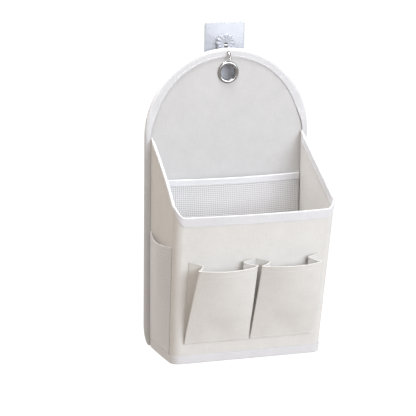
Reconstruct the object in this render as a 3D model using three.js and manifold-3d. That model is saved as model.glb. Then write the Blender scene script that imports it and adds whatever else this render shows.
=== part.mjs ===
// Hanging bedside caddy: a bound canvas bag with an arched back, mesh pockets and two pleated
// front pockets, hung by its eyelet on a clear adhesive wall hook.
// Millimetres, +Z up. The wall is y = 0, the front faces -Y, and the origin is on the adhesive's
// wall face, straight behind the boss.
import * as THREE from 'three';
import { mergeVertices } from 'three/addons/utils/BufferGeometryUtils.js';
import Module from 'manifold-3d';

const wasm = await Module();
wasm.setup();

// Bag
const CADDY_HEIGHT = 410;
const BACK_WIDTH = 235;
const FLANGE_WIDTH = 8.5;
const FOOT_NARROWING = 2.5;
const DEPTH_FOOT = 93;
const DEPTH_RIM = 126;
const SIDE_DROP = 0.5;
const CORNER_RIM = 221;
const RIM_DIP = 13.5;
const RIM_FLARE = 3.5;
const FRONT_CORNER_R = 12;
const FRONT_BOW = 6;
const FOOT_CORNER_RISE = 33;
const SEAM_FILLET = 1;
const SEAM_SETBACK = 2;

// Cloth, boards and tape
const CANVAS = 1.4;
const BACK_CLOTH = 1;
const BACK_BOARD = 2;
const BASE_BOARD = 2;
const BASE_BOARD_INSET = 2;
const TAPE = 0.7;
const TAPE_FOLD = 0.5;
const LAYER_GAP = 0.3;
const BACK_LIP = 12.5;
const FOOT_LIP = 8;
const RIM_LIP = 12;
const SIDE_LIP = 4;
const BOTTOM_LIP = 12;
const BOTTOM_TURN_UNDER = 9;
const FLANGE_FOOT = 3;
const LIP_CLEARANCE = 1.5;
const LIP_WIDENING = 23.5;

// Mesh pockets
const NET = 0.8;
const NET_STRAND = 3;
const NET_HEM = 4;
const INNER_POCKET_TOP = 233.5;
const INNER_POCKET_FOOT = 10;
const INNER_POCKET_SLACK = 10;
const INNER_POCKET_LIP = 8.5;
const INNER_POCKET_GAPS = { across: 12, up: 8 };
const SIDE_POCKET_TOP = 165;
const SIDE_POCKET_SAG = 5;
const SIDE_POCKET_SLACK = 6.9;
const SIDE_POCKET_GAPS = { across: 5, up: 9 };

// Pleated front pockets
const POCKET_CLOTH = 0.8;
const POCKET_HEM = 1.2;
const POCKET_HEM_DEPTH = 10;
const POCKET_FOOT = 29.5;
const POCKET_TOP = 146;
const POCKET_DROOP = 6;
const POCKET_EDGE = 3;
const POCKET_SPACING = 3;
const PLEAT_DEPTH = 18;
const PLEAT_PITCH = 1.6;

// Eyelet
const EYELET_DROP = 33;
const EYELET_HOLE_R = 10.5;
const EYELET_FLANGE_R = 15.2;
const EYELET_WALL = 0.8;
const EYELET_CROWN = 1.7;
const EYELET_ROLL = 1.6;
const EYELET_FLARE = 1.3;
const WASHER = 0.8;

// Wall hook
const PLATE_WIDTH = 57;
const PLATE_RISE = 28.5;
const PLATE_FALL = 56;
const PLATE = 1.6;
const PLATE_CORNER_R = 4;
const ADHESIVE = 0.8;
const ADHESIVE_INSET = 1;
const FACE_GAP = 0.1;
const BOSS_R = 13;
const BOSS_HEIGHT = 6.4;
const BOSS_FLUTES = 14;
const BOSS_FLUTE_DEPTH = 0.7;
const BOSS_ROUND = 1.2;
const PIVOT_DROP = 2.5;
const PIN_R = 1;
const PIN_LENGTH = 14;
const PIN_CLEARANCE = 0.2;
const HOOK_WIRE_R = 1.8;
const HOOK_EYE_WALL = 1.7;
const HOOK_DROP = 27.5;
const HOOK_BEND_R = 10;
const HOOK_TIP_RISE = 10.2;
const HOOK_TIP_R = 2.3;
const HOOK_SIDE_PLAY = 0.4;

// Colours
const CANVAS_COLOUR = 0xdcd8d0;
const LINING_COLOUR = 0xd9d7d2;
const TAPE_COLOUR = 0xf0f0f2;
const NET_COLOUR = 0xe9e9ea;
const BOARD_COLOUR = 0xb9ab94;
const CLEAR_COLOUR = 0xdde2ec;
const STEEL_COLOUR = 0xb8b8b8;
const NICKEL_COLOUR = 0xc9c9c6;

// Places worked out from the sizes above
const bagWidth = BACK_WIDTH - 2 * FLANGE_WIDTH;
const archRadius = BACK_WIDTH / 2;
const archCentreZ = CADDY_HEIGHT - archRadius;
const sideTop = archCentreZ - SIDE_DROP;
const frontRim = CORNER_RIM - RIM_DIP;
const pocketOuter = bagWidth / 2 - FOOT_NARROWING - FRONT_CORNER_R - POCKET_EDGE;
const backStack = 2 * BACK_CLOTH + BACK_BOARD + 2 * LAYER_GAP;
const edgeInset = TAPE + LAYER_GAP;
const tapeCorner = TAPE + TAPE_FOLD / 2;
const wallFoot = TAPE + LAYER_GAP;
const boardFoot = wallFoot + CANVAS + LAYER_GAP;
const sideStartY = -(LAYER_GAP + CANVAS + SEAM_FILLET);
const eyeletZ = CADDY_HEIGHT - EYELET_DROP;
const barrelR = EYELET_HOLE_R + EYELET_WALL;
const eyeletBoreR = barrelR + LAYER_GAP;
const plateFrontY = -(ADHESIVE + FACE_GAP + PLATE);
const bossBackY = plateFrontY - FACE_GAP;
const pivotY = bossBackY - BOSS_HEIGHT / 2;
const pivotZ = -PIVOT_DROP;
const saddleZ = pivotZ - HOOK_DROP;
const panelY = pivotY - HOOK_BEND_R - backStack / 2;
const saddleInnerR = HOOK_BEND_R - HOOK_WIRE_R;
const saddleRise = saddleInnerR - Math.sqrt(saddleInnerR ** 2 - (backStack / 2) ** 2);
const caddyFootZ = saddleZ + HOOK_WIRE_R + saddleRise + LAYER_GAP - EYELET_HOLE_R - eyeletZ;

const v3 = (x, y, z) => new THREE.Vector3(x, y, z);
const { lerp, clamp, smoothstep, degToRad } = THREE.MathUtils;

// Indexed geometry of one closed body, turned so that its faces point out.
function closedGeometry(points, triangles) {
  let volume = 0;
  for (let k = 0; k < triangles.length; k += 3) {
    const [a, b, c] = [points[triangles[k]], points[triangles[k + 1]], points[triangles[k + 2]]];
    volume += a.dot(v3(0, 0, 0).crossVectors(b, c));
  }
  const geometry = new THREE.BufferGeometry().setFromPoints(points);
  geometry.setIndex(volume < 0 ? triangles.reverse() : triangles);
  geometry.computeVertexNormals();
  return geometry;
}

// Closed solid between two matching grids of points, one on each face of the cloth.
// pairAt(i, j) gives the two points, a ring joins its last column to its first, and a cell
// where isGap(i, j) is true is open right through.
function clothSolid(columns, rows, pairAt, { ring = false, isGap = () => false } = {}) {
  const points = [];
  for (let i = 0; i < columns; i++) {
    for (let j = 0; j < rows; j++) points.push(...pairAt(i, j));
  }
  const cells = ring ? columns : columns - 1;
  const isCloth = (i, j) => {
    const inside = j >= 0 && j < rows - 1 && (ring || (i >= 0 && i < cells));
    return inside && !isGap((i + cells) % cells, j);
  };
  const corner = (i, j) => 2 * ((i % columns) * rows + j);
  const triangles = [];
  const quad = (a, b, c, d) => triangles.push(a, b, c, a, c, d);
  for (let i = 0; i < cells; i++) {
    for (let j = 0; j < rows - 1; j++) {
      if (!isCloth(i, j)) continue;
      const [a, b, c, d] = [corner(i, j), corner(i + 1, j), corner(i + 1, j + 1), corner(i, j + 1)];
      quad(a, b, c, d);
      quad(d + 1, c + 1, b + 1, a + 1);
      if (!isCloth(i, j - 1)) quad(b, a, a + 1, b + 1);
      if (!isCloth(i + 1, j)) quad(c, b, b + 1, c + 1);
      if (!isCloth(i, j + 1)) quad(d, c, c + 1, d + 1);
      if (!isCloth(i - 1, j)) quad(a, d, d + 1, a + 1);
    }
  }
  return closedGeometry(points, triangles);
}

// Copy of a geometry with its matching points joined.
function welded(geometry) {
  const bare = new THREE.BufferGeometry().setAttribute('position', geometry.attributes.position);
  return mergeVertices(bare.setIndex(geometry.index), 1e-4);
}

// Solid turned about the y axis from a closed profile of [radius, y] points.
function turned(profile, segments) {
  const outline = [...profile, profile[0]].map(([radius, y]) => new THREE.Vector2(radius, y));
  const { attributes, index } = welded(new THREE.LatheGeometry(outline, segments));
  const points = [];
  for (let k = 0; k < attributes.position.count; k++) {
    points.push(v3(0, 0, 0).fromBufferAttribute(attributes.position, k));
  }
  return closedGeometry(points, Array.from(index.array));
}

function toManifold(geometry) {
  const { attributes, index } = welded(geometry);
  const vertProperties = new Float32Array(attributes.position.array);
  const triVerts = new Uint32Array(index.array);
  return new wasm.Manifold(new wasm.Mesh({ numProp: 3, vertProperties, triVerts }));
}

function fromManifold(solid) {
  const { vertProperties, triVerts } = solid.getMesh();
  const geometry = new THREE.BufferGeometry();
  geometry.setAttribute('position', new THREE.BufferAttribute(vertProperties, 3));
  geometry.setIndex(new THREE.BufferAttribute(triVerts, 1));
  geometry.computeVertexNormals();
  return geometry;
}

function part(group, name, geometry, color, roughness = 0.9, metalness = 0) {
  const mesh = new THREE.Mesh(geometry, new THREE.MeshStandardMaterial({ color, roughness, metalness }));
  mesh.name = name;
  group.add(mesh);
}

// Back panel outline

// Outer edge of the bound back panel, anticlockwise from the foot's middle: straight foot and
// sides, drawn-in foot corners and a half-round top. Each station has its outward direction.
function backOutline() {
  const half = [];
  const footHalf = bagWidth / 2;
  for (const share of [0, 0.5, 0.9, 0.96]) half.push({ x: share * footHalf, z: 0, nx: 0, nz: -1 });
  const cornerSteps = 8;
  for (let k = 0; k <= cornerSteps; k++) {
    const angle = (k / cornerSteps) * (Math.PI / 2);
    const normal = new THREE.Vector2(Math.sin(angle) / FLANGE_WIDTH, -Math.cos(angle) / FOOT_CORNER_RISE);
    normal.normalize();
    half.push({
      x: footHalf + FLANGE_WIDTH * Math.sin(angle),
      z: FOOT_CORNER_RISE * (1 - Math.cos(angle)),
      nx: normal.x,
      nz: normal.y,
    });
  }
  half.push({ x: archRadius, z: sideTop / 2, nx: 1, nz: 0 });
  half.push({ x: archRadius, z: sideTop, nx: 1, nz: 0 });
  const archSteps = 20;
  for (let k = 0; k <= archSteps; k++) {
    const angle = (k / archSteps) * (Math.PI / 2);
    const [nx, nz] = [Math.cos(angle), Math.sin(angle)];
    half.push({ x: archRadius * nx, z: archCentreZ + archRadius * nz, nx, nz });
  }
  const mirrored = half.slice(1, -1).reverse();
  return [...half, ...mirrored.map((s) => ({ x: -s.x, z: s.z, nx: -s.nx, nz: s.nz }))];
}

const outline = backOutline();

// Width of the sewn flange beside the bag at height z.
function flangeAt(z) {
  const drop = clamp(1 - z / FOOT_CORNER_RISE, 0, 1);
  return FLANGE_WIDTH * Math.sqrt(1 - drop * drop);
}

// Share of the side panel's flange that lies under the binding: none at the foot and on the arch.
function flangeShare(z) {
  const atFoot = smoothstep(z, 0, FLANGE_FOOT - LAYER_GAP);
  const aboveTop = smoothstep(z, sideTop + LAYER_GAP, sideTop + LIP_WIDENING);
  return Math.min(atFoot, 1 - aboveTop);
}

// Width of the binding's front lip at an outline station.
function frontLip(station) {
  const flangeLip = Math.max(2 * TAPE, flangeAt(station.z) - LIP_CLEARANCE);
  if (station.z > sideTop) return lerp(BACK_LIP, flangeLip, flangeShare(station.z));
  if (station.z > 0) return flangeLip;
  const inward = bagWidth / 2 - Math.abs(station.x);
  return lerp(2 * TAPE, FOOT_LIP, smoothstep(inward, SEAM_FILLET + CANVAS, 2 * FOOT_LIP));
}

// One flat layer of the back panel, from its front face at depth y backwards.
function backLayer(y, thickness) {
  const edge = outline.map((s) => new THREE.Vector2(s.x - edgeInset * s.nx, s.z - edgeInset * s.nz));
  const shape = new THREE.Shape(edge);
  shape.holes.push(new THREE.Path().absarc(0, eyeletZ, eyeletBoreR, 0, 2 * Math.PI, true));
  const settings = { depth: thickness, bevelEnabled: false, curveSegments: 16 };
  const layer = new THREE.ExtrudeGeometry(shape, settings);
  return layer.rotateX(Math.PI / 2).translate(0, y + thickness, 0);
}

// Binding tape folded over the whole edge of the back panel and the side panels' flanges.
function backBinding() {
  const rear = backStack + LAYER_GAP;
  return clothSolid(outline.length, 6, (i, j) => {
    const s = outline[i];
    const front = -LAYER_GAP - flangeShare(s.z) * (LAYER_GAP + CANVAS);
    const lip = frontLip(s);
    const inner = [
      [BACK_LIP, rear], [tapeCorner, rear], [TAPE, rear - TAPE_FOLD],
      [TAPE, front + TAPE_FOLD], [tapeCorner, front], [lip, front],
    ][j];
    const outer = [
      [BACK_LIP, rear + TAPE], [TAPE_FOLD, rear + TAPE], [0, rear],
      [0, front], [TAPE_FOLD, front - TAPE], [lip, front - TAPE],
    ][j];
    return [inner, outer].map(([inset, y]) => v3(s.x - inset * s.nx, y, s.z - inset * s.nz));
  }, { ring: true });
}

// Bag walls

// Outside of the front panel, measured forwards from the back panel, at height z.
const frontDepth = (z) => lerp(DEPTH_FOOT, DEPTH_RIM, z / CORNER_RIM);

const seamY = (z) => -(frontDepth(z) - FRONT_CORNER_R - SEAM_SETBACK);

// Half of the bag's outside width at depth y: towards the front it narrows at the foot and
// widens at the rim.
function halfWidth(y, z) {
  const forward = clamp(-y / (frontDepth(z) - FRONT_CORNER_R), 0, 1);
  return bagWidth / 2 + forward ** 2 * lerp(-FOOT_NARROWING, RIM_FLARE, clamp(z / CORNER_RIM, 0, 1));
}

function frontBow(x, z) {
  const across = clamp(x / (halfWidth(-Infinity, z) - FRONT_CORNER_R), -1, 1);
  return FRONT_BOW * (1 - across * across) * (z / CORNER_RIM);
}

// Shares along the sides, corners and front where the wall has its upright lines.
const SIDE_SHARES = [0.05, 0.25, 0.5, 0.75, 1];
const CORNER_SHARES = [0, 0.2, 0.4, 0.6, 0.8, 1];
const FRONT_SHARES = [-0.75, -0.5, -0.25, 0, 0.25, 0.5, 0.75];

// An upright line of the wall. at(z, offset) is its point at height z, offset outwards from the
// outside face; foot and top are the cloth's ends on it, and lip is the outer lip of its binding.
function flangeLine(side, share) {
  const x = (z) => lerp(bagWidth / 2 + SEAM_FILLET, bagWidth / 2 + flangeAt(z) - edgeInset, share);
  return {
    foot: FLANGE_FOOT,
    top: sideTop,
    at: (z, offset) => v3(side * x(z), -(LAYER_GAP + CANVAS + offset), z),
  };
}

function filletLine(side, share) {
  const angle = share * (Math.PI / 2);
  return {
    foot: FLANGE_FOOT,
    top: sideTop,
    at: (z, offset) => {
      const radius = SEAM_FILLET - offset;
      const x = bagWidth / 2 + SEAM_FILLET - radius * Math.sin(angle);
      return v3(side * x, sideStartY + radius * Math.cos(angle), z);
    },
  };
}

function sideLine(side, share) {
  return {
    foot: wallFoot,
    top: lerp(sideTop, CORNER_RIM, share),
    lip: SIDE_LIP,
    at: (z, offset) => {
      const y = lerp(sideStartY, seamY(z), share);
      return v3(side * (halfWidth(y, z) + offset), y, z);
    },
  };
}

function returnLine(side) {
  return {
    foot: wallFoot,
    top: CORNER_RIM,
    lip: SIDE_LIP,
    at: (z, offset) => v3(side * (halfWidth(seamY(z), z) + offset), seamY(z) - LAYER_GAP, z),
  };
}

function cornerLine(side, share) {
  const angle = share * (Math.PI / 2);
  return {
    foot: wallFoot,
    top: lerp(CORNER_RIM, frontRim, smoothstep(share, 0, 1)),
    lip: lerp(SIDE_LIP, RIM_LIP, smoothstep(share, 0, 1)),
    at: (z, offset) => {
      const radius = FRONT_CORNER_R + offset;
      const x = halfWidth(-Infinity, z) - FRONT_CORNER_R + radius * Math.cos(angle);
      return v3(side * x, -(frontDepth(z) - FRONT_CORNER_R + radius * Math.sin(angle)), z);
    },
  };
}

function frontLine(share) {
  return {
    foot: wallFoot,
    top: frontRim,
    lip: RIM_LIP,
    at: (z, offset) => {
      const x = share * (halfWidth(-Infinity, z) - FRONT_CORNER_R);
      return v3(x, -(frontDepth(z) + frontBow(x, z) + offset), z);
    },
  };
}

const sideLines = (side) => SIDE_SHARES.map((share) => sideLine(side, share));
const flangeLines = (side) => [
  ...[1, 0].map((share) => flangeLine(side, share)),
  ...[0.5, 1].map((share) => filletLine(side, share)),
];
const frontLines = [
  returnLine(-1),
  ...CORNER_SHARES.map((share) => cornerLine(-1, share)),
  ...FRONT_SHARES.map(frontLine),
  ...CORNER_SHARES.map((share) => cornerLine(1, share)).reverse(),
  returnLine(1),
];
const wallLines = [...sideLines(-1), ...frontLines, ...sideLines(1).reverse()];

// A wall panel between its outside and inside faces.
function wallPanel(lines, rows) {
  return clothSolid(lines.length, rows, (i, j) => {
    const line = lines[i];
    const z = lerp(line.foot, line.top, j / (rows - 1));
    return [line.at(z, -CANVAS), line.at(z, 0)];
  });
}

// Tape folded over the top edge of a cloth of the given thickness, its inside lip of one width.
function topBinding(lines, insideLip, cloth) {
  const near = LAYER_GAP;
  const far = LAYER_GAP + TAPE;
  return clothSolid(lines.length, 6, (i, j) => {
    const line = lines[i];
    const inner = [
      [-line.lip, near], [0, near], [near, near - TAPE_FOLD / 2],
      [near, -cloth - near + TAPE_FOLD / 2], [0, -cloth - near], [-insideLip, -cloth - near],
    ][j];
    const outer = [
      [-line.lip, far], [near, far], [far, far - TAPE_FOLD],
      [far, -cloth - far + TAPE_FOLD], [near, -cloth - far], [-insideLip, -cloth - far],
    ][j];
    return [inner, outer].map(([rise, offset]) => line.at(line.top + rise, offset));
  });
}

// Tape round the foot of the walls, turned under the bottom panel.
function bottomBinding(lines) {
  const far = LAYER_GAP + TAPE;
  const inner = [[BOTTOM_LIP, LAYER_GAP], [TAPE + TAPE_FOLD / 2, LAYER_GAP],
    [TAPE, LAYER_GAP - TAPE_FOLD / 2], [TAPE, -BOTTOM_TURN_UNDER]];
  const outer = [[BOTTOM_LIP, far], [TAPE_FOLD, far], [0, far - TAPE_FOLD], [0, -BOTTOM_TURN_UNDER]];
  return clothSolid(lines.length, inner.length, (i, j) => (
    [inner[j], outer[j]].map(([z, offset]) => lines[i].at(z, offset))
  ));
}

// A flat sheet on the floor of the bag, its edge kept inside the walls.
function floorSheet(z, thickness, inset) {
  const rearY = -(2 * LAYER_GAP + TAPE + inset);
  const edge = wallLines.map((line) => line.at(z, -(CANVAS + LAYER_GAP + inset)));
  const shape = new THREE.Shape(edge.map((p) => new THREE.Vector2(p.x, Math.min(p.y, sideStartY))));
  const ends = [edge.at(-1), edge[0]];
  for (const end of ends) shape.lineTo(end.x, rearY);
  const sheet = new THREE.ExtrudeGeometry(shape, { depth: thickness, bevelEnabled: false });
  return sheet.translate(0, 0, z);
}

// Mesh pockets

// Edges of the strands along one way of a net: a hem at each end and even meshes between.
function strandEdges(start, end, gaps) {
  const pitch = (end - start - 2 * NET_HEM + NET_STRAND) / gaps;
  const edges = [start, start + NET_HEM];
  for (let k = 1; k < gaps; k++) {
    const gapEnd = start + NET_HEM + k * pitch - NET_STRAND;
    edges.push(gapEnd, gapEnd + NET_STRAND);
  }
  return [...edges, end - NET_HEM, end];
}

const isMesh = (i, j) => i % 2 === 1 && j % 2 === 1;

// Net pocket on the inside of the back panel, slack towards its top edge.
const innerPocketHalf = bagWidth / 2 - CANVAS - SEAM_FILLET - 2 * LAYER_GAP;

function innerPocketLine(x) {
  return {
    top: INNER_POCKET_TOP - LAYER_GAP - TAPE,
    lip: INNER_POCKET_LIP,
    at: (z, offset) => {
      const rise = clamp((z - INNER_POCKET_FOOT) / (INNER_POCKET_TOP - INNER_POCKET_FOOT), 0, 1);
      const slack = INNER_POCKET_SLACK * rise * Math.cos((x / innerPocketHalf) * (Math.PI / 2));
      return v3(x, -(2 * LAYER_GAP + TAPE + slack + NET + offset), z);
    },
  };
}

function innerPocketNet() {
  const across = strandEdges(-innerPocketHalf, innerPocketHalf, INNER_POCKET_GAPS.across);
  const lines = across.map(innerPocketLine);
  const up = strandEdges(INNER_POCKET_FOOT, lines[0].top, INNER_POCKET_GAPS.up);
  return clothSolid(across.length, up.length, (i, j) => (
    [lines[i].at(up[j], -NET), lines[i].at(up[j], 0)]
  ), { isGap: isMesh });
}

function innerPocketBinding() {
  const across = strandEdges(-innerPocketHalf, innerPocketHalf, INNER_POCKET_GAPS.across);
  return topBinding(across.map(innerPocketLine), INNER_POCKET_LIP, NET);
}

// Net pocket on the outside of a side panel, its top edge hanging slack between the seams.
function sidePocketNet(side) {
  const start = 2 * SEAM_FILLET + 2 * LAYER_GAP + TAPE;
  const length = DEPTH_FOOT - FRONT_CORNER_R - SEAM_SETBACK;
  const foot = BOTTOM_LIP + LAYER_GAP;
  const along = strandEdges(start, length, SIDE_POCKET_GAPS.across);
  const up = strandEdges(foot, SIDE_POCKET_TOP, SIDE_POCKET_GAPS.up);
  return clothSolid(along.length, up.length, (i, j) => {
    const share = along[i] / length;
    const droop = SIDE_POCKET_SAG * Math.sin(share * Math.PI);
    const rise = (up[j] - foot) / (SIDE_POCKET_TOP - foot);
    const z = lerp(foot, SIDE_POCKET_TOP - droop, rise);
    const slack = LAYER_GAP + SIDE_POCKET_SLACK * Math.sin(share * Math.PI) * Math.sqrt(rise);
    const line = sideLine(side, share);
    return [line.at(z, slack), line.at(z, slack + NET)];
  }, { isGap: isMesh });
}

// Pleated front pockets

// Plan of one side of a pocket at an opening share of 0 (pressed flat) to 1 (its mouth):
// from the seam in to the first fold, back out to the second, as [inwards, forwards] points.
function pleat(opening, mouth) {
  const seat = LAYER_GAP + POCKET_CLOTH / 2;
  const firstPly = degToRad(mouth.firstPly * opening);
  const secondPly = degToRad(lerp(180, mouth.secondPly, opening));
  const face = degToRad(mouth.face * opening);
  const steps = [
    [PLEAT_DEPTH, firstPly], [PLEAT_PITCH, (firstPly + secondPly) / 2],
    [PLEAT_DEPTH, secondPly], [PLEAT_PITCH, (secondPly + face) / 2],
  ];
  const points = [new THREE.Vector2(0, seat)];
  for (const [length, heading] of steps) {
    const step = new THREE.Vector2(Math.cos(heading), Math.sin(heading)).multiplyScalar(length);
    points.push(points.at(-1).clone().add(step));
  }
  return points;
}

// Half angle of the arc whose length and chord are given.
function arcHalfAngle(length, chord) {
  let [low, high] = [1e-3, Math.PI / 2];
  for (let k = 0; k < 40; k++) {
    const angle = (low + high) / 2;
    if (Math.sin(angle) / angle > chord / length) low = angle;
    else high = angle;
  }
  return low;
}

// Plan of a whole pocket: the pleats at both seams and the face bowed between them.
function pocketPlan(opening, seams, mouths) {
  const left = pleat(opening, mouths.left).map((p) => p.setX(seams.left + p.x));
  const right = pleat(opening, mouths.right).map((p) => p.setX(seams.right - p.x)).reverse();
  const [from, to] = [left.at(-1), right[0]];
  const chord = to.clone().sub(from);
  const half = arcHalfAngle(seams.right - seams.left, chord.length());
  const sewn = opening === 0;
  const faceSteps = 10;
  const face = [];
  for (let k = 1; k < faceSteps; k++) {
    const turn = half * (2 * (k / faceSteps) - 1);
    const along = (Math.sin(half) + Math.sin(turn)) / (2 * Math.sin(half));
    const bulge = chord.length() * (Math.cos(turn) - Math.cos(half)) / (2 * Math.sin(half));
    const point = from.clone().addScaledVector(chord, along);
    point.add(new THREE.Vector2(-chord.y, chord.x).normalize().multiplyScalar(bulge));
    const inward = Math.min(point.x - seams.left, seams.right - point.x);
    const flat = sewn ? smoothstep(inward, PLEAT_DEPTH + PLEAT_PITCH, 1.5 * PLEAT_DEPTH) : 0;
    face.push(point.setY(lerp(point.y, left[0].y, flat)));
  }
  return [...left, ...face, ...right];
}

// Offset of each point of a plan to its two faces, mitred at the folds.
function mitres(plan) {
  return plan.map((point, k) => {
    const before = point.clone().sub(plan[Math.max(k - 1, 0)]).normalize();
    const after = plan[Math.min(k + 1, plan.length - 1)].clone().sub(point).normalize();
    const heading = before.clone().add(after).normalize();
    const reference = k === 0 ? after : before;
    return new THREE.Vector2(-heading.y, heading.x).divideScalar(heading.dot(reference));
  });
}

function pocket(seams, mouths) {
  const hemFoot = 1 - POCKET_HEM_DEPTH / (POCKET_TOP - POCKET_FOOT);
  const openings = [0, 0.07, 0.25, 0.5, 0.75, hemFoot, 1];
  const rows = openings.map((opening) => {
    const plan = pocketPlan(opening, seams, mouths);
    const level = lerp(POCKET_FOOT, POCKET_TOP, opening);
    const half = (opening >= hemFoot ? POCKET_HEM : POCKET_CLOTH) / 2;
    const place = (p) => {
      const z = level - POCKET_DROOP * opening * smoothstep(p.y, 0, PLEAT_DEPTH);
      return v3(p.x, -(frontDepth(z) + frontBow(p.x, z) + p.y), z);
    };
    return mitres(plan).map((mitre, k) => [-half, half].map((d) => (
      place(plan[k].clone().addScaledVector(mitre, d))
    )));
  });
  return clothSolid(rows[0].length, rows.length, (i, j) => rows[j][i]);
}

// Eyelet

const eyeletRing = (profile) => turned(profile, 32).translate(0, 0, eyeletZ);

// Front half: a rolled crown on the panel's face and a barrel flared over the washer.
function eyeletGrommet() {
  const seat = -LAYER_GAP;
  const crown = seat - EYELET_CROWN;
  const rollSeat = backStack + WASHER + 2 * LAYER_GAP;
  const throat = EYELET_HOLE_R;
  const span = EYELET_FLANGE_R - throat;
  return eyeletRing([
    [throat + EYELET_FLARE, rollSeat + EYELET_WALL], [throat + 0.6 * EYELET_WALL, rollSeat],
    [throat, backStack - EYELET_WALL], [throat, 0], [throat + 0.12 * span, lerp(seat, crown, 0.6)],
    [throat + 0.4 * span, crown], [throat + 0.75 * span, lerp(seat, crown, 0.75)],
    [EYELET_FLANGE_R - LAYER_GAP, lerp(seat, crown, 0.3)], [EYELET_FLANGE_R, seat],
    [barrelR, seat], [barrelR, rollSeat],
    [barrelR + EYELET_ROLL, rollSeat], [barrelR + EYELET_ROLL, rollSeat + EYELET_WALL / 2],
  ]);
}

function eyeletWasher() {
  const seat = backStack + LAYER_GAP;
  return eyeletRing([
    [eyeletBoreR, seat], [EYELET_FLANGE_R - LAYER_GAP, seat],
    [EYELET_FLANGE_R, seat + 0.3 * WASHER], [EYELET_FLANGE_R - WASHER, seat + 0.9 * WASHER],
    [eyeletBoreR, seat + WASHER],
  ]);
}

// Wall hook

// A plate on the wall behind the boss and the eyelet, from its wall face at depth y forwards.
function wallPlate(inset, y, thickness) {
  const sideX = PLATE_WIDTH / 2 - inset - PLATE_CORNER_R;
  const [topZ, footZ] = [PLATE_RISE - inset - PLATE_CORNER_R, inset + PLATE_CORNER_R - PLATE_FALL];
  const shape = new THREE.Shape();
  const centres = [[sideX, topZ], [-sideX, topZ], [-sideX, footZ], [sideX, footZ]];
  centres.forEach(([x, z], k) => {
    shape.absarc(x, z, PLATE_CORNER_R, (k * Math.PI) / 2, ((k + 1) * Math.PI) / 2, false);
  });
  const settings = { depth: thickness, bevelEnabled: false, curveSegments: 4 };
  const plate = new THREE.ExtrudeGeometry(shape, settings);
  return plate.rotateX(Math.PI / 2).translate(0, y, 0);
}

const pinHoleR = PIN_R + PIN_CLEARANCE;
const hookEyeR = pinHoleR + HOOK_EYE_WALL;

// Fluted round boss with a slot for the hook's eye and a bore for its pin.
function hookBoss() {
  const pointsPerFlute = 6;
  const rim = [];
  for (let k = 0; k < BOSS_FLUTES * pointsPerFlute; k++) {
    const angle = (k / (BOSS_FLUTES * pointsPerFlute)) * 2 * Math.PI;
    const radius = BOSS_R - BOSS_ROUND - BOSS_FLUTE_DEPTH * (0.5 - 0.5 * Math.cos(BOSS_FLUTES * angle));
    rim.push(new THREE.Vector2(radius * Math.cos(angle), radius * Math.sin(angle)));
  }
  const boss = new THREE.ExtrudeGeometry(new THREE.Shape(rim), {
    depth: BOSS_HEIGHT - 2 * BOSS_ROUND,
    bevelThickness: BOSS_ROUND,
    bevelSize: BOSS_ROUND,
    bevelSegments: 2,
  });
  boss.rotateX(Math.PI / 2).translate(0, bossBackY - BOSS_ROUND, 0);
  const slotWidth = 2 * (HOOK_WIRE_R + HOOK_SIDE_PLAY);
  const slotTop = pivotZ + hookEyeR + HOOK_SIDE_PLAY;
  const slotFoot = -BOSS_R - BOSS_ROUND;
  const slot = new THREE.BoxGeometry(slotWidth, 2 * BOSS_HEIGHT, slotTop - slotFoot);
  slot.translate(0, pivotY, (slotTop + slotFoot) / 2);
  const bore = new THREE.CylinderGeometry(pinHoleR, pinHoleR, PIN_LENGTH + 2 * LAYER_GAP, 16);
  bore.rotateZ(Math.PI / 2).translate(0, pivotY, pivotZ);
  return fromManifold(toManifold(boss).subtract(toManifold(slot)).subtract(toManifold(bore)));
}

function hookPin() {
  const pin = new THREE.CylinderGeometry(PIN_R, PIN_R, PIN_LENGTH, 16);
  return pin.rotateZ(Math.PI / 2).translate(0, pivotY, pivotZ);
}

// Steel hook: an eye on the pin, a straight leg, a half-round saddle and an upturned tip.
function steelHook() {
  const bendZ = saddleZ + HOOK_BEND_R;
  const tipY = pivotY - 2 * HOOK_BEND_R;
  const tipZ = saddleZ + HOOK_TIP_RISE;
  const path = new THREE.CurvePath();
  const legZ = pivotZ - hookEyeR + HOOK_EYE_WALL / 2;
  path.add(new THREE.LineCurve3(v3(0, pivotY, legZ), v3(0, pivotY, bendZ)));
  const bendSteps = 4;
  const onBend = (k) => {
    const angle = (k / bendSteps) * Math.PI;
    const y = pivotY - HOOK_BEND_R * (1 - Math.cos(angle));
    return v3(0, y, bendZ - HOOK_BEND_R * Math.sin(angle));
  };
  const handle = (4 / 3) * Math.tan(Math.PI / bendSteps / 4) * HOOK_BEND_R;
  const tangent = (k) => {
    const angle = (k / bendSteps) * Math.PI;
    return v3(0, -Math.sin(angle), -Math.cos(angle)).multiplyScalar(handle);
  };
  for (let k = 0; k < bendSteps; k++) {
    const [start, end] = [onBend(k), onBend(k + 1)];
    const [leave, arrive] = [start.clone().add(tangent(k)), end.clone().sub(tangent(k + 1))];
    path.add(new THREE.CubicBezierCurve3(start, leave, arrive, end));
  }
  path.add(new THREE.LineCurve3(v3(0, tipY, bendZ), v3(0, tipY, tipZ)));
  const section = new THREE.Shape().absarc(0, 0, HOOK_WIRE_R, 0, 2 * Math.PI, false);
  const wire = new THREE.ExtrudeGeometry(section, { steps: 32, curveSegments: 6, extrudePath: path });
  const eye = turned([
    [pinHoleR, -HOOK_WIRE_R], [hookEyeR, -HOOK_WIRE_R], [hookEyeR, HOOK_WIRE_R], [pinHoleR, HOOK_WIRE_R],
  ], 24);
  eye.rotateZ(Math.PI / 2).translate(0, pivotY, pivotZ);
  const tip = new THREE.SphereGeometry(HOOK_TIP_R, 12, 8).translate(0, tipY, tipZ);
  const solids = [wire, eye, tip].map(toManifold);
  return fromManifold(solids[0].add(solids[1]).add(solids[2]));
}

// Assembly

const assembly = new THREE.Group();

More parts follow.
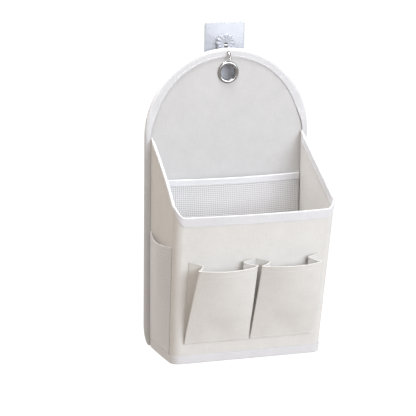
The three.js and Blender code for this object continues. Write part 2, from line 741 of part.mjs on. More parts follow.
const wallHook = new THREE.Group();
assembly.add(wallHook);
part(wallHook, 'adhesive_pad', wallPlate(ADHESIVE_INSET, 0, ADHESIVE), CLEAR_COLOUR, 0.6);
part(wallHook, 'hook_plate', wallPlate(0, -(ADHESIVE + FACE_GAP), PLATE), CLEAR_COLOUR, 0.25);
part(wallHook, 'hook_boss', hookBoss(), CLEAR_COLOUR, 0.2);
part(wallHook, 'hook_pin', hookPin(), STEEL_COLOUR, 0.35, 1);
part(wallHook, 'steel_hook', steelHook(), STEEL_COLOUR, 0.3, 1);

const caddy = new THREE.Group();
caddy.position.set(0, panelY, caddyFootZ);
assembly.add(caddy);
part(caddy, 'back_panel', backLayer(0, BACK_CLOTH), LINING_COLOUR);
part(caddy, 'back_board', backLayer(BACK_CLOTH + LAYER_GAP, BACK_BOARD), BOARD_COLOUR);
part(caddy, 'back_cover', backLayer(BACK_CLOTH + BACK_BOARD + 2 * LAYER_GAP, BACK_CLOTH), CANVAS_COLOUR);
part(caddy, 'back_binding', backBinding(), TAPE_COLOUR);
part(caddy, 'left_side_panel', wallPanel([...flangeLines(-1), ...sideLines(-1)], 5), CANVAS_COLOUR);
part(caddy, 'right_side_panel', wallPanel([...flangeLines(1), ...sideLines(1)], 5), CANVAS_COLOUR);
part(caddy, 'front_panel', wallPanel(frontLines, 5), CANVAS_COLOUR);
part(caddy, 'bottom_panel', floorSheet(wallFoot, CANVAS, 0), CANVAS_COLOUR);
part(caddy, 'base_board', floorSheet(boardFoot, BASE_BOARD, BASE_BOARD_INSET), BOARD_COLOUR);
part(caddy, 'rim_binding', topBinding(wallLines, RIM_LIP, CANVAS), TAPE_COLOUR);
part(caddy, 'bottom_binding', bottomBinding(wallLines), TAPE_COLOUR);
part(caddy, 'inner_mesh_pocket', innerPocketNet(), NET_COLOUR);
part(caddy, 'inner_mesh_binding', innerPocketBinding(), TAPE_COLOUR);
part(caddy, 'left_mesh_pocket', sidePocketNet(-1), NET_COLOUR);
part(caddy, 'right_mesh_pocket', sidePocketNet(1), NET_COLOUR);
part(caddy, 'left_front_pocket', pocket({ left: -pocketOuter, right: -POCKET_SPACING / 2 }, {
  left: { firstPly: 28, secondPly: 125, face: 25 },
  right: { firstPly: 8, secondPly: 146, face: 25 },
}), CANVAS_COLOUR);
part(caddy, 'right_front_pocket', pocket({ left: POCKET_SPACING / 2, right: pocketOuter }, {
  left: { firstPly: 30, secondPly: 130, face: 25 },
  right: { firstPly: 18, secondPly: 140, face: 25 },
}), CANVAS_COLOUR);

part(caddy, 'eyelet_grommet', eyeletGrommet(), NICKEL_COLOUR, 0.2, 1);
part(caddy, 'eyelet_washer', eyeletWasher(), NICKEL_COLOUR, 0.25, 1);

export default assembly;
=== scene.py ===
from math import atan2, cos, hypot, pi, radians, sin, sqrt

import bpy
from mathutils import Matrix, Vector


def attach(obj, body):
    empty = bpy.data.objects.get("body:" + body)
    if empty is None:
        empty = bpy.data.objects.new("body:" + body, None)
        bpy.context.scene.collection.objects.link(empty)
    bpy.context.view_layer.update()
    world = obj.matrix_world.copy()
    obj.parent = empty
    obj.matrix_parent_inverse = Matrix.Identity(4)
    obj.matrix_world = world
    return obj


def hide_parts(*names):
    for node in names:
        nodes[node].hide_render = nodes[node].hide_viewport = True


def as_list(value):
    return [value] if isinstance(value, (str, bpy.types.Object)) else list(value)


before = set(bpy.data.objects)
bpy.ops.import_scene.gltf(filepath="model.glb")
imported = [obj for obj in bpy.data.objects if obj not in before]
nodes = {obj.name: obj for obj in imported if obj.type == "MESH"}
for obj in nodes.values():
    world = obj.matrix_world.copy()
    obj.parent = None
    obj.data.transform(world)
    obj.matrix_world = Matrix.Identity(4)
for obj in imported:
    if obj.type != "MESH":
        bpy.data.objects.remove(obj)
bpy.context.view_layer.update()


# Wall hook plate: a clear moulded plate that reaches down behind the eyelet. A clear adhesive
# pad on its back sticks it to the wall.
mm = 0.001
PLATE_WIDTH, PLATE_RISE, PLATE_FALL = 57 * mm, 28.5 * mm, 56 * mm
PLATE_BACK_Y, PLATE_THICK = -0.9 * mm, 1.6 * mm
PLATE_CORNER, PLATE_EDGE = 4 * mm, 0.4 * mm
WELD = 0.01 * mm


def linear(*srgb):
    """Linear colour of an sRGB one given from 0 to 255."""
    shares = [c / 255 for c in srgb]
    return [c / 12.92 if c <= 0.04045 else ((c + 0.055) / 1.055) ** 2.4 for c in shares]


def add_node(tree, kind, inputs=None, **settings):
    """Adds a shader node of a kind; an input is a value or the socket that feeds it."""
    made = tree.nodes.new("ShaderNode" + kind)
    for key, value in settings.items():
        setattr(made, key, value)
    for key, value in (inputs or {}).items():
        if isinstance(value, bpy.types.NodeSocket):
            tree.links.new(value, made.inputs[key])
        else:
            made.inputs[key].default_value = value
    return made


def new_group(name, inputs, outputs):
    """Empty shader node group with named sockets; returns its tree, input node and output node."""
    tree = bpy.data.node_groups.new(name, "ShaderNodeTree")
    for in_out, sockets in (("INPUT", inputs), ("OUTPUT", outputs)):
        for socket, kind in sockets.items():
            tree.interface.new_socket(socket, in_out=in_out, socket_type="NodeSocket" + kind)
    return tree, tree.nodes.new("NodeGroupInput"), tree.nodes.new("NodeGroupOutput")


def new_material(name, colour, roughness, finish=None):
    """Material with the finish's plain values; returns it with its tree and shader."""
    material = bpy.data.materials.new(name)
    material.use_nodes = True
    shader = material.node_tree.nodes["Principled BSDF"]
    values = {"Base Color": (*colour, 1), "Roughness": roughness, **(finish or {})}
    for key, value in values.items():
        shader.inputs[key].default_value = value
    return material, material.node_tree, shader


def dress(piece, material, body=None):
    """Gives a piece its material. A new piece also rides on its body."""
    piece.data.materials.clear()
    piece.data.materials.append(material)
    if body:
        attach(piece, body)


# Handling haze: faint smears and dust that change how glossy a hard surface is.
haze, haze_in, haze_out = new_group(
    "handling_haze", {"Place": "Vector", "Grain": "Float"}, {"Smear": "Float", "Speck": "Float"})
smear = add_node(haze, "TexNoise", {
    "Vector": haze_in.outputs["Place"], "Scale": haze_in.outputs["Grain"],
    "Detail": 4.0, "Roughness": 0.6})
speck = add_node(haze, "TexNoise", {
    "Vector": haze_in.outputs["Place"], "Scale": 900.0, "Detail": 2.0})
haze.links.new(smear.outputs["Fac"], haze_out.inputs["Smear"])
haze.links.new(speck.outputs["Fac"], haze_out.inputs["Speck"])


def hazed(tree, shader, grain, low, high, bump):
    """Puts the haze on a material: its roughness goes from low to high, with a fine bump."""
    place = add_node(tree, "TexCoord")
    mask = add_node(
        tree, "Group", {"Place": place.outputs["Object"], "Grain": grain}, node_tree=haze)
    gloss = add_node(tree, "MapRange", {
        "Value": mask.outputs["Smear"], "From Min": 0.3, "From Max": 0.7, "To Min": low, "To Max": high})
    tree.links.new(gloss.outputs["Result"], shader.inputs["Roughness"])
    relief = add_node(tree, "Bump", {
        "Height": mask.outputs["Speck"], "Strength": bump, "Distance": 0.05 * mm})
    tree.links.new(relief.outputs["Normal"], shader.inputs["Normal"])
    return mask


def start_piece(name):
    """Names the primitive just added and puts its place into its mesh."""
    piece = bpy.context.object
    piece.name = piece.data.name = name
    bpy.ops.object.transform_apply(location=True, rotation=True, scale=True)
    return piece


def select_only(piece):
    """Makes a piece the active one and the only one selected."""
    bpy.ops.object.select_all(action="DESELECT")
    bpy.context.view_layer.objects.active = piece
    piece.select_set(True)


def edit_edges(piece, test):
    """Opens a piece in edit mode with only the edges that pass the test selected."""
    bpy.context.tool_settings.mesh_select_mode = (False, True, False)
    mesh = piece.data
    for part in (mesh.vertices, mesh.polygons):
        part.foreach_set("select", [False] * len(part))
    for edge in mesh.edges:
        a, b = (mesh.vertices[k].co for k in edge.vertices)
        edge.select = test(a, b)
    bpy.ops.object.mode_set(mode="EDIT")


def edit_all(piece):
    """Opens a piece in edit mode with all of it selected."""
    edit_edges(piece, lambda a, b: True)
    bpy.ops.mesh.select_all(action="SELECT")


def spin_round(steps, centre, axis):
    """Spins the selection once round an axis and welds the last step to the first."""
    bpy.ops.mesh.spin(steps=steps, angle=2 * pi, center=centre, axis=axis)
    bpy.ops.mesh.select_all(action="SELECT")
    bpy.ops.mesh.remove_doubles(threshold=WELD)


def finish_edit():
    """Leaves edit mode with every face pointing outwards."""
    bpy.ops.mesh.select_all(action="SELECT")
    bpy.ops.mesh.normals_make_consistent(inside=False)
    bpy.ops.object.mode_set(mode="OBJECT")


def apply_modifier(piece, kind, **settings):
    """Adds a modifier to a piece and applies it."""
    select_only(piece)
    modifier = piece.modifiers.new(kind.lower(), kind)
    for key, value in settings.items():
        setattr(modifier, key, value)
    bpy.ops.object.modifier_apply(modifier=modifier.name)


def round_shade(piece, angle):
    """Shades a piece smooth, except over edges sharper than the angle."""
    select_only(piece)
    bpy.ops.object.shade_smooth_by_angle(angle=radians(angle))


bpy.ops.mesh.primitive_cube_add(
    size=1,
    location=(0, PLATE_BACK_Y - PLATE_THICK / 2, (PLATE_RISE - PLATE_FALL) / 2),
    scale=(PLATE_WIDTH, PLATE_THICK, PLATE_RISE + PLATE_FALL))
plate = start_piece("clear_plate")
edit_edges(plate, lambda a, b: abs(a.y - b.y) > mm)
bpy.ops.mesh.bevel(offset=PLATE_CORNER, segments=8, affect="EDGES")
bpy.ops.object.mode_set(mode="OBJECT")
plate_front_y = PLATE_BACK_Y - PLATE_THICK
edit_edges(plate, lambda a, b: max(a.y, b.y) < plate_front_y + WELD)
bpy.ops.mesh.bevel(offset=PLATE_EDGE, segments=3, affect="EDGES")
finish_edit()
round_shade(plate, 40)

clear, tree, shader = new_material(
    "clear_plastic", linear(186, 191, 201), 0.2, {"Alpha": 0.85, "IOR": 1.49, "Coat Weight": 0.3})
hazed(tree, shader, 60, 0.12, 0.3, 0.04)
dress(plate, clear, "wall_hook")
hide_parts("hook_plate")

adhesive, tree, shader = new_material(
    "adhesive_film", linear(222, 226, 233), 0.5, {"Alpha": 0.8})
hazed(tree, shader, 90, 0.4, 0.65, 0.2)
dress(nodes["adhesive_pad"], adhesive)


# Hook boss: a round clear block moulded on the plate, with flutes on its rim and face and a slot
# in its lower half. A steel pin across the slot carries the hook's eye.
BOSS_GAP, BOSS_RADIUS, BOSS_HEIGHT, BOSS_ROUND = 0.1 * mm, 13 * mm, 6.4 * mm, 1.2 * mm
BOSS_FLUTES, FLUTE_DEPTH, FLUTE_STEPS = 14, 0.8 * mm, 8
FLUTE_START, FLUTE_FADE = 0.52, 0.3
PIVOT_Y, PIVOT_Z = -5.8 * mm, -2.5 * mm
EYE_RADIUS, EYE_CLEARANCE, SLOT_WIDTH = 2.9 * mm, 0.4 * mm, 4.4 * mm
BORE_RADIUS, BORE_LENGTH = 1.2 * mm, 14.6 * mm


def clamp(value, low=0.0, high=1.0):
    return min(max(value, low), high)


def cut_away(piece, cutter):
    """Cuts a closed cutter out of a piece and removes the cutter."""
    apply_modifier(piece, "BOOLEAN", object=cutter, operation="DIFFERENCE", solver="EXACT")
    bpy.data.objects.remove(cutter)


boss_back_y = plate_front_y - BOSS_GAP
bpy.ops.mesh.primitive_circle_add(
    vertices=BOSS_FLUTES * FLUTE_STEPS, radius=BOSS_RADIUS, fill_type="NGON",
    location=(0, boss_back_y, 0), rotation=(pi / 2, 0, 0))
boss = start_piece("clear_boss")
edit_all(boss)
share, height = 1.0, 0.0
for next_share, next_height in (
        (1, BOSS_HEIGHT - BOSS_ROUND), (0.97, BOSS_HEIGHT - 0.4 * BOSS_ROUND), (0.91, BOSS_HEIGHT),
        (0.8, BOSS_HEIGHT), (0.66, BOSS_HEIGHT), (FLUTE_START, BOSS_HEIGHT - 0.5 * FLUTE_DEPTH)):
    bpy.ops.mesh.extrude_region_move(TRANSFORM_OT_translate={"value": (0, height - next_height, 0)})
    bpy.ops.transform.resize(
        value=(next_share / share, 1, next_share / share),
        center_override=(0, boss_back_y - next_height, 0))
    share, height = next_share, next_height
finish_edit()
for vertex in boss.data.vertices:
    turn, radius = atan2(vertex.co.z, vertex.co.x), hypot(vertex.co.x, vertex.co.z)
    if radius > 0:
        wave = FLUTE_DEPTH * (0.5 - 0.5 * cos(BOSS_FLUTES * turn))
        wave *= clamp((radius / BOSS_RADIUS - FLUTE_START) / FLUTE_FADE)
        radius -= wave
        vertex.co.x, vertex.co.z = radius * cos(turn), radius * sin(turn)
        if vertex.co.y < boss_back_y - 0.5 * BOSS_HEIGHT:
            vertex.co.y += wave
boss.data.update()
slot_top = PIVOT_Z + EYE_RADIUS + EYE_CLEARANCE
slot_foot = -1.2 * BOSS_RADIUS
bpy.ops.mesh.primitive_cube_add(
    size=1, location=(0, PIVOT_Y, (slot_top + slot_foot) / 2),
    scale=(SLOT_WIDTH, 2 * BOSS_HEIGHT, slot_top - slot_foot))
cut_away(boss, start_piece("slot_cutter"))
bpy.ops.mesh.primitive_cylinder_add(
    vertices=24, radius=BORE_RADIUS, depth=BORE_LENGTH,
    location=(0, PIVOT_Y, PIVOT_Z), rotation=(0, pi / 2, 0))
cut_away(boss, start_piece("bore_cutter"))
round_shade(boss, 30)
dress(boss, clear, "wall_hook")
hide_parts("hook_boss")

steel, tree, shader = new_material(
    "drawn_steel", linear(176, 174, 173), 0.25, {"Metallic": 1.0})
hazed(tree, shader, 140, 0.16, 0.34, 0.1)
dress(nodes["hook_pin"], steel)


# Steel hook: drawn wire with an eye flattened on the pin, a straight leg, a half-round saddle
# that carries the eyelet, and an upturned tip with a swelled end.
WIRE_RADIUS, BEND_RADIUS = 1.8 * mm, 10 * mm
SADDLE_Z, TIP_RISE, TIP_RADIUS = -30 * mm, 10.2 * mm, 2.3 * mm
LEG_OVERLAP, TIP_TURNS = 0.85 * mm, (0, 15, 40, 62, 80)
bend_z = SADDLE_Z + BEND_RADIUS
tip_y, tip_z = PIVOT_Y - 2 * BEND_RADIUS, SADDLE_Z + TIP_RISE

bpy.ops.mesh.primitive_circle_add(
    vertices=20, radius=WIRE_RADIUS, fill_type="NGON",
    location=(0, PIVOT_Y, PIVOT_Z - EYE_RADIUS + LEG_OVERLAP))
hook = start_piece("wire_hook")
edit_all(hook)
bpy.ops.mesh.extrude_region_move(
    TRANSFORM_OT_translate={"value": (0, 0, bend_z - hook.data.vertices[0].co.z)})
bpy.ops.mesh.spin(
    steps=24, angle=pi, center=(0, PIVOT_Y - BEND_RADIUS, bend_z), axis=(-1, 0, 0))
height, radius = bend_z, WIRE_RADIUS
for turn in TIP_TURNS:
    level = tip_z + TIP_RADIUS * sin(radians(turn))
    width = TIP_RADIUS * cos(radians(turn))
    bpy.ops.mesh.extrude_region_move(TRANSFORM_OT_translate={"value": (0, 0, level - height)})
    bpy.ops.transform.resize(
        value=(width / radius, width / radius, 1), center_override=(0, tip_y, level))
    height, radius = level, width
finish_edit()
bpy.ops.mesh.primitive_plane_add(
    size=1, location=(0, PIVOT_Y, PIVOT_Z + (BORE_RADIUS + EYE_RADIUS) / 2),
    rotation=(pi / 2, 0, 0))
bpy.ops.transform.resize(value=(2 * WIRE_RADIUS, 1, EYE_RADIUS - BORE_RADIUS))
eye = start_piece("hook_eye")
edit_all(eye)
spin_round(32, (0, PIVOT_Y, PIVOT_Z), (1, 0, 0))
finish_edit()
select_only(hook)
eye.select_set(True)
bpy.ops.object.join()
round_shade(hook, 45)
dress(hook, steel, "hook")
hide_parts("steel_hook")


# Canvas back: an off-white lining canvas inside, a stiff board and a canvas cover behind it,
# cut to the same arched outline and sewn together round the edge, with a hole for the eyelet.
PANEL_Y, FOOT_Z = -18.1 * mm, -415.07 * mm
CADDY_HEIGHT, BACK_WIDTH, FLANGE_WIDTH = 410 * mm, 235 * mm, 8.5 * mm
BACK_CLOTH, BACK_STACK, FOOT_RISE = 1 * mm, 4.6 * mm, 33 * mm
EDGE_INSET, EYELET_BORE, EYELET_DROP = 3 * mm, 11.6 * mm, 33 * mm
BACK_COLUMNS, BACK_ROWS, STRAIGHT_SHARE, CUT_LENGTH = 48, 70, 0.6, 40 * mm
arch_radius = BACK_WIDTH / 2
arch_z = CADDY_HEIGHT - arch_radius
eyelet_z = CADDY_HEIGHT - EYELET_DROP


def mix(a, b, share):
    """Value at a share of the way from a to b."""
    return a + (b - a) * share


def ease(value, low, high):
    """Smooth step from 0 at low to 1 at high."""
    share = clamp((value - low) / (high - low))
    return share * share * (3 - 2 * share)


def hung(x, y, z):
    """Point of the bag in the row frame, from its place beside the back panel's foot."""
    return Vector((x, PANEL_Y + y, FOOT_Z + z))


def cloth_sheet(name, columns, rows, place, thick):
    """A sheet of cloth from a grid. place(u, v) gives a point and its spot on the flat cloth."""
    bpy.ops.mesh.primitive_grid_add(x_subdivisions=columns, y_subdivisions=rows, size=1)
    piece = start_piece(name)
    mesh = piece.data
    spots = []
    for vertex in mesh.vertices:
        point, spot = place(vertex.co.x + 0.5, vertex.co.y + 0.5)
        vertex.co = point
        spots.append(spot)
    for loop, corner in zip(mesh.loops, mesh.uv_layers.active.data):
        corner.uv = spots[loop.vertex_index]
    mesh.update()
    bpy.ops.object.mode_set(mode="EDIT")
    bpy.ops.mesh.select_all(action="SELECT")
    bpy.ops.mesh.remove_doubles(threshold=WELD)
    bpy.ops.object.mode_set(mode="OBJECT")
    if thick:
        apply_modifier(piece, "SOLIDIFY", thickness=thick, offset=-1)
    round_shade(piece, 50)
    return piece


def back_half_width(z):
    """Half of the back panel's outside width at a height above the foot."""
    if z > arch_z:
        return sqrt(max(arch_radius**2 - (z - arch_z) ** 2, 0))
    drop = clamp(1 - z / FOOT_RISE)
    return arch_radius - FLANGE_WIDTH * (1 - sqrt(1 - drop * drop))


def back_sheet(name, y, facing):
    """One cloth of the back, its face at depth y, facing forwards (1) or to the wall (-1)."""
    def place(u, v):
        if v > STRAIGHT_SHARE:
            turn = (v - STRAIGHT_SHARE) / (1 - STRAIGHT_SHARE) * pi / 2
            z = arch_z + (arch_radius - EDGE_INSET) * sin(turn)
            half = (arch_radius - EDGE_INSET) * cos(turn)
        else:
            z = EDGE_INSET + (arch_z - EDGE_INSET) * v / STRAIGHT_SHARE
            half = back_half_width(z) - EDGE_INSET
        x = facing * (2 * u - 1) * half
        return hung(x, y, z), (x, z)
    piece = cloth_sheet(name, BACK_COLUMNS, BACK_ROWS, place, BACK_CLOTH)
    bpy.ops.mesh.primitive_cylinder_add(
        vertices=64, radius=EYELET_BORE, depth=CUT_LENGTH,
        location=hung(0, 0, eyelet_z), rotation=(pi / 2, 0, 0))
    cut_away(piece, start_piece("eyelet_cutter"))
    return piece


lining = back_sheet("lining_canvas", 0, 1)
cover = back_sheet("cover_canvas", BACK_STACK, -1)

# Plain weave: threads of a given pitch that pass over and under, with slubs along them and a faint
# mottle. The first output is a factor near 1 on the cloth's colour: painted shade in the grooves between
# the thread crowns, together with the slubs and mottle. Height is the crowns of the threads.
SLUB_LONG, SLUB_FINE = 70, 1100
weave, weave_in, weave_out = new_group(
    "plain_weave", {"Cloth": "Vector", "Pitch": "Float"}, {"shade_and_mottle": "Float", "Height": "Float"})


def reckon(tree, operation, *values):
    """Math node on values or sockets; returns its result."""
    made = add_node(tree, "Math", dict(enumerate(values)), operation=operation)
    return made.outputs[0]


def shaded(tree, shader, colour, tone):
    """Lets a tone near 1 darken or lighten a material's colour."""
    made = add_node(tree, "VectorMath", {0: colour, "Scale": tone}, operation="SCALE")
    tree.links.new(made.outputs[0], shader.inputs["Base Color"])


threads = add_node(weave, "VectorMath", {
    0: weave_in.outputs["Cloth"],
    "Scale": reckon(weave, "DIVIDE", pi, weave_in.outputs["Pitch"])}, operation="SCALE")
axes = add_node(weave, "SeparateXYZ", {0: threads.outputs[0]})
warp, weft = (reckon(weave, "SINE", axes.outputs[k]) for k in (0, 1))
crossing = reckon(weave, "MULTIPLY", warp, weft)
crown = reckon(weave, "POWER", reckon(weave, "ABSOLUTE", crossing), 0.5)
over = reckon(weave, "MULTIPLY_ADD", reckon(weave, "SIGN", crossing), 0.18, 0.82)
slubs = []
for stretch in ((SLUB_LONG, SLUB_FINE, 1), (SLUB_FINE, SLUB_LONG, 1)):
    drawn = add_node(weave, "VectorMath", {
        0: weave_in.outputs["Cloth"], 1: stretch}, operation="MULTIPLY")
    slubs.append(add_node(weave, "TexNoise", {
        "Vector": drawn.outputs[0], "Scale": 1.0, "Detail": 1.0}).outputs["Fac"])
slub = reckon(weave, "ADD", *slubs)
mottle = add_node(weave, "TexNoise", {
    "Vector": weave_in.outputs["Cloth"], "Scale": 38.0, "Detail": 4.0, "Roughness": 0.55}).outputs["Fac"]
# Painted shade: the colour is darker in the grooves between the thread crowns and lighter on them.
tone = reckon(weave, "MULTIPLY_ADD", crown, 0.11, 0.86)
tone = reckon(weave, "MULTIPLY_ADD", reckon(weave, "SUBTRACT", slub, 1.0), 0.10, tone)
tone = reckon(weave, "MULTIPLY_ADD", reckon(weave, "SUBTRACT", mottle, 0.5), 0.12, tone)
weave.links.new(tone, weave_out.inputs["shade_and_mottle"])
height = reckon(weave, "MULTIPLY", crown, over)
weave.links.new(reckon(weave, "MULTIPLY_ADD", slub, 0.35, height), weave_out.inputs["Height"])


def woven(name, colour, roughness, pitch, relief, sheen):
    """Cloth material woven on the piece's own flat cloth coordinates."""
    material, tree, shader = new_material(name, colour, roughness, {
        "Sheen Weight": sheen, "Sheen Roughness": 0.6, "Specular IOR Level": 0.2})
    cloth = add_node(tree, "UVMap", uv_map="UVMap")
    threads = add_node(
        tree, "Group", {"Cloth": cloth.outputs["UV"], "Pitch": pitch}, node_tree=weave)
    # Painted shade from the weave's grooves, with its slubs and mottle, darkens or lightens the colour.
    shaded(tree, shader, colour, threads.outputs["shade_and_mottle"])
    bump = add_node(tree, "Bump", {
        "Height": threads.outputs["Height"], "Strength": 0.6, "Distance": relief})
    tree.links.new(bump.outputs["Normal"], shader.inputs["Normal"])
    return material


# Painted shade: the lining is a darker, cooler copy of the off-white canvas, standing in for the shade
# inside the bag.
lining_canvas = woven("lining_canvas", linear(212, 212, 213), 0.9, 0.9 * mm, 0.12 * mm, 0.08)
canvas = woven("canvas", linear(236, 235, 233), 0.9, 0.9 * mm, 0.12 * mm, 0.08)
dress(lining, lining_canvas, "caddy")
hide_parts("back_panel")
dress(cover, canvas, "caddy")
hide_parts("back_cover")

tan = linear(184, 170, 146)
board, tree, shader = new_material("stiff_board", tan, 0.8)
fibres = hazed(tree, shader, 300, 0.7, 0.9, 0.5)
shaded(tree, shader, tan, reckon(tree, "MULTIPLY_ADD", fibres.outputs["Speck"], 0.3, 0.85))
dress(nodes["back_board"], board)


# Bag walls: two canvas side panels whose flanges are sewn to the back, and a canvas front panel
# that rolls round both front corners. The bag leans out towards its rim and its front bows.
BAG_WIDTH, FOOT_NARROWING, RIM_FLARE = BACK_WIDTH - 2 * FLANGE_WIDTH, 2.5 * mm, 3.5 * mm
DEPTH_FOOT, DEPTH_RIM, FRONT_BOW = 93 * mm, 126 * mm, 6 * mm
SIDE_TOP, CORNER_RIM, FRONT_RIM = 292 * mm, 221 * mm, 207.5 * mm
CORNER_RADIUS, SEAM_FILLET, SEAM_SETBACK = 12 * mm, 1 * mm, 2 * mm
CANVAS_THICK, LAYER_GAP = 1.4 * mm, 0.3 * mm
WALL_FOOT, FLANGE_FOOT = 1 * mm, 3 * mm
SWELL_HEIGHT, CREASE_HEIGHT = 0.3 * mm, 0.08 * mm
SIDE_STEPS, CORNER_STEPS, FRONT_STEPS, WALL_ROWS = 28, 12, 41, 60
side_start_y = -(LAYER_GAP + CANVAS_THICK + SEAM_FILLET)


def front_depth(z):
    """How far the front stands out from the back at a height, at its corners."""
    return mix(DEPTH_FOOT, DEPTH_RIM, z / CORNER_RIM)


def seam_y(z):
    """Depth of the seam between a side panel and the front panel."""
    return -(front_depth(z) - CORNER_RADIUS - SEAM_SETBACK)


def half_width(y, z):
    """Half of the bag's width at a depth and height."""
    forward = clamp(-y / (front_depth(z) - CORNER_RADIUS))
    return BAG_WIDTH / 2 + forward**2 * mix(-FOOT_NARROWING, RIM_FLARE, clamp(z / CORNER_RIM))


def front_half(z):
    """Half of the front's width between its rolled corners."""
    return half_width(-1, z) - CORNER_RADIUS


def front_bow(x, z):
    """How far the front bows out past its corners."""
    across = clamp(x / front_half(z), -1, 1)
    return FRONT_BOW * (1 - across * across) * z / CORNER_RIM


def flange_line(side, share):
    """An upright line of the wall: its foot, its top, and its point at a height and offset."""
    def at(z, offset):
        outer = back_half_width(z) - EDGE_INSET
        x = mix(BAG_WIDTH / 2 + SEAM_FILLET, outer, share)
        return hung(side * x, side_start_y + SEAM_FILLET - offset, z)
    return FLANGE_FOOT, SIDE_TOP, at


def fillet_line(side, share):
    def at(z, offset):
        radius, turn = SEAM_FILLET - offset, share * pi / 2
        x = BAG_WIDTH / 2 + SEAM_FILLET - radius * sin(turn)
        return hung(side * x, side_start_y + radius * cos(turn), z)
    return FLANGE_FOOT, SIDE_TOP, at


def side_line(side, share):
    def at(z, offset):
        y = mix(side_start_y, seam_y(z), share)
        return hung(side * (half_width(y, z) + offset), y, z)
    return WALL_FOOT, mix(SIDE_TOP, CORNER_RIM, share), at


def return_line(side):
    def at(z, offset):
        y = seam_y(z)
        return hung(side * (half_width(y, z) + offset), y - LAYER_GAP, z)
    return WALL_FOOT, CORNER_RIM, at


def corner_line(side, share):
    def at(z, offset):
        radius, turn = CORNER_RADIUS + offset, share * pi / 2
        x = front_half(z) + radius * cos(turn)
        return hung(side * x, -(front_depth(z) - CORNER_RADIUS + radius * sin(turn)), z)
    return WALL_FOOT, mix(CORNER_RIM, FRONT_RIM, ease(share, 0, 1)), at


def front_line(share):
    def at(z, offset):
        x = share * front_half(z)
        return hung(x, -(front_depth(z) + front_bow(x, z) + offset), z)
    return WALL_FOOT, FRONT_RIM, at


def shares(count, start=0.0, end=1.0):
    """Evenly spaced values from start to end."""
    return [mix(start, end, k / (count - 1)) for k in range(count)]


side_lines = {
    side: [side_line(side, share) for share in shares(SIDE_STEPS, 0.05)] for side in (-1, 1)}
flange_lines = {
    side: [flange_line(side, share) for share in (1, 0.5, 0)]
    + [fillet_line(side, share) for share in (0.25, 0.5, 0.75, 1)]
    for side in (-1, 1)}
front_lines = (
    [return_line(-1)]
    + [corner_line(-1, share) for share in shares(CORNER_STEPS)]
    + [front_line(share) for share in shares(FRONT_STEPS, -1, 1)[1:-1]]
    + [corner_line(1, share) for share in reversed(shares(CORNER_STEPS))]
    + [return_line(1)])


def lay_out(lines, level):
    """Distance of each line along the flat cloth, measured at a height."""
    points = [line[2](level, 0) for line in lines]
    along = [0.0]
    for before, after in zip(points, points[1:]):
        along.append(along[-1] + (after - before).length)
    return along


def slack(u, v, along, up):
    """Gentle unevenness of sewn canvas, fading out at its seams."""
    swell = sin(along / (21 * mm) + 0.6 * sin(up / (34 * mm))) * sin(up / (43 * mm) + 1.3)
    crease = sin(along / (9 * mm) + up / (50 * mm)) * sin(up / (15 * mm) - along / (30 * mm))
    hold = sin(pi * u) * sin(pi * v)
    return hold * (SWELL_HEIGHT * swell + CREASE_HEIGHT * crease)


def wall_sheet(name, lines):
    """A wall panel between its foot and top along a run of lines, left to right from outside."""
    along = lay_out(lines, CORNER_RIM / 2)

    def place(u, v):
        k = round(u * (len(lines) - 1))
        foot, top, at = lines[k]
        z = mix(foot, top, v)
        return at(z, slack(u, v, along[k], z)), (along[k], z)
    piece = cloth_sheet(name, len(lines) - 1, WALL_ROWS, place, CANVAS_THICK)
    dress(piece, canvas, "caddy")
    return piece, along[-1]


side_run = {-1: flange_lines[-1] + side_lines[-1], 1: (flange_lines[1] + side_lines[1])[::-1]}
for side, title in ((-1, "left"), (1, "right")):
    panel, width = wall_sheet(title + "_side_canvas", side_run[side])
    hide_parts(title + "_side_panel")
front, width = wall_sheet("front_canvas", front_lines)
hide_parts("front_panel")


# Bag bottom: a canvas panel sewn to the foot of the walls, with a loose stiff board laid on it
# that keeps it flat.
BACK_SETBACK, BOTTOM_COLUMNS, BOTTOM_ROWS = 2 * LAYER_GAP + 0.7 * mm, 40, 30


def bottom_place(u, v):
    """The panel inside the walls' foot, with finer rows towards its rounded front corners."""
    inset = CANVAS_THICK + LAYER_GAP
    centre = front_depth(WALL_FOOT) - CORNER_RADIUS
    reach = CORNER_RADIUS - inset
    depth = mix(BACK_SETBACK, centre + reach, 1 - (1 - v) ** 2)
    half = half_width(-depth, WALL_FOOT) - inset
    if depth > centre:
        half = front_half(WALL_FOOT) + sqrt(max(reach**2 - (depth - centre) ** 2, 0))
    x = (2 * u - 1) * half
    return hung(x, -depth, WALL_FOOT), (x, depth)


bottom = cloth_sheet("bottom_canvas", BOTTOM_COLUMNS, BOTTOM_ROWS, bottom_place, CANVAS_THICK)
dress(bottom, canvas, "caddy")
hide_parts("bottom_panel")
dress(nodes["base_board"], board)


# Mesh pockets: white knitted net with square meshes. One hangs slack on the lining inside the
# bag; one is sewn on the outside of each side panel, its hemmed top edge sagging.
NET_THICK, MESH_PITCH, STRAND = 0.8 * mm, 2.7 * mm, 1.2 * mm
INNER_TOP, INNER_FOOT, INNER_SLACK = 233.5 * mm, 10 * mm, 10 * mm
TAPE = 0.7 * mm
NET_TOP, NET_SAG, NET_SLACK, TAPE_LIP = 165 * mm, 5 * mm, 6.9 * mm, 12 * mm
NET_HEM, NET_HEM_ROUND, NET_HEM_STEPS, HEM_SIDES = 0.5 * mm, 5 * mm, 60, 8
inner_half = BAG_WIDTH / 2 - CANVAS_THICK - SEAM_FILLET - 2 * LAYER_GAP


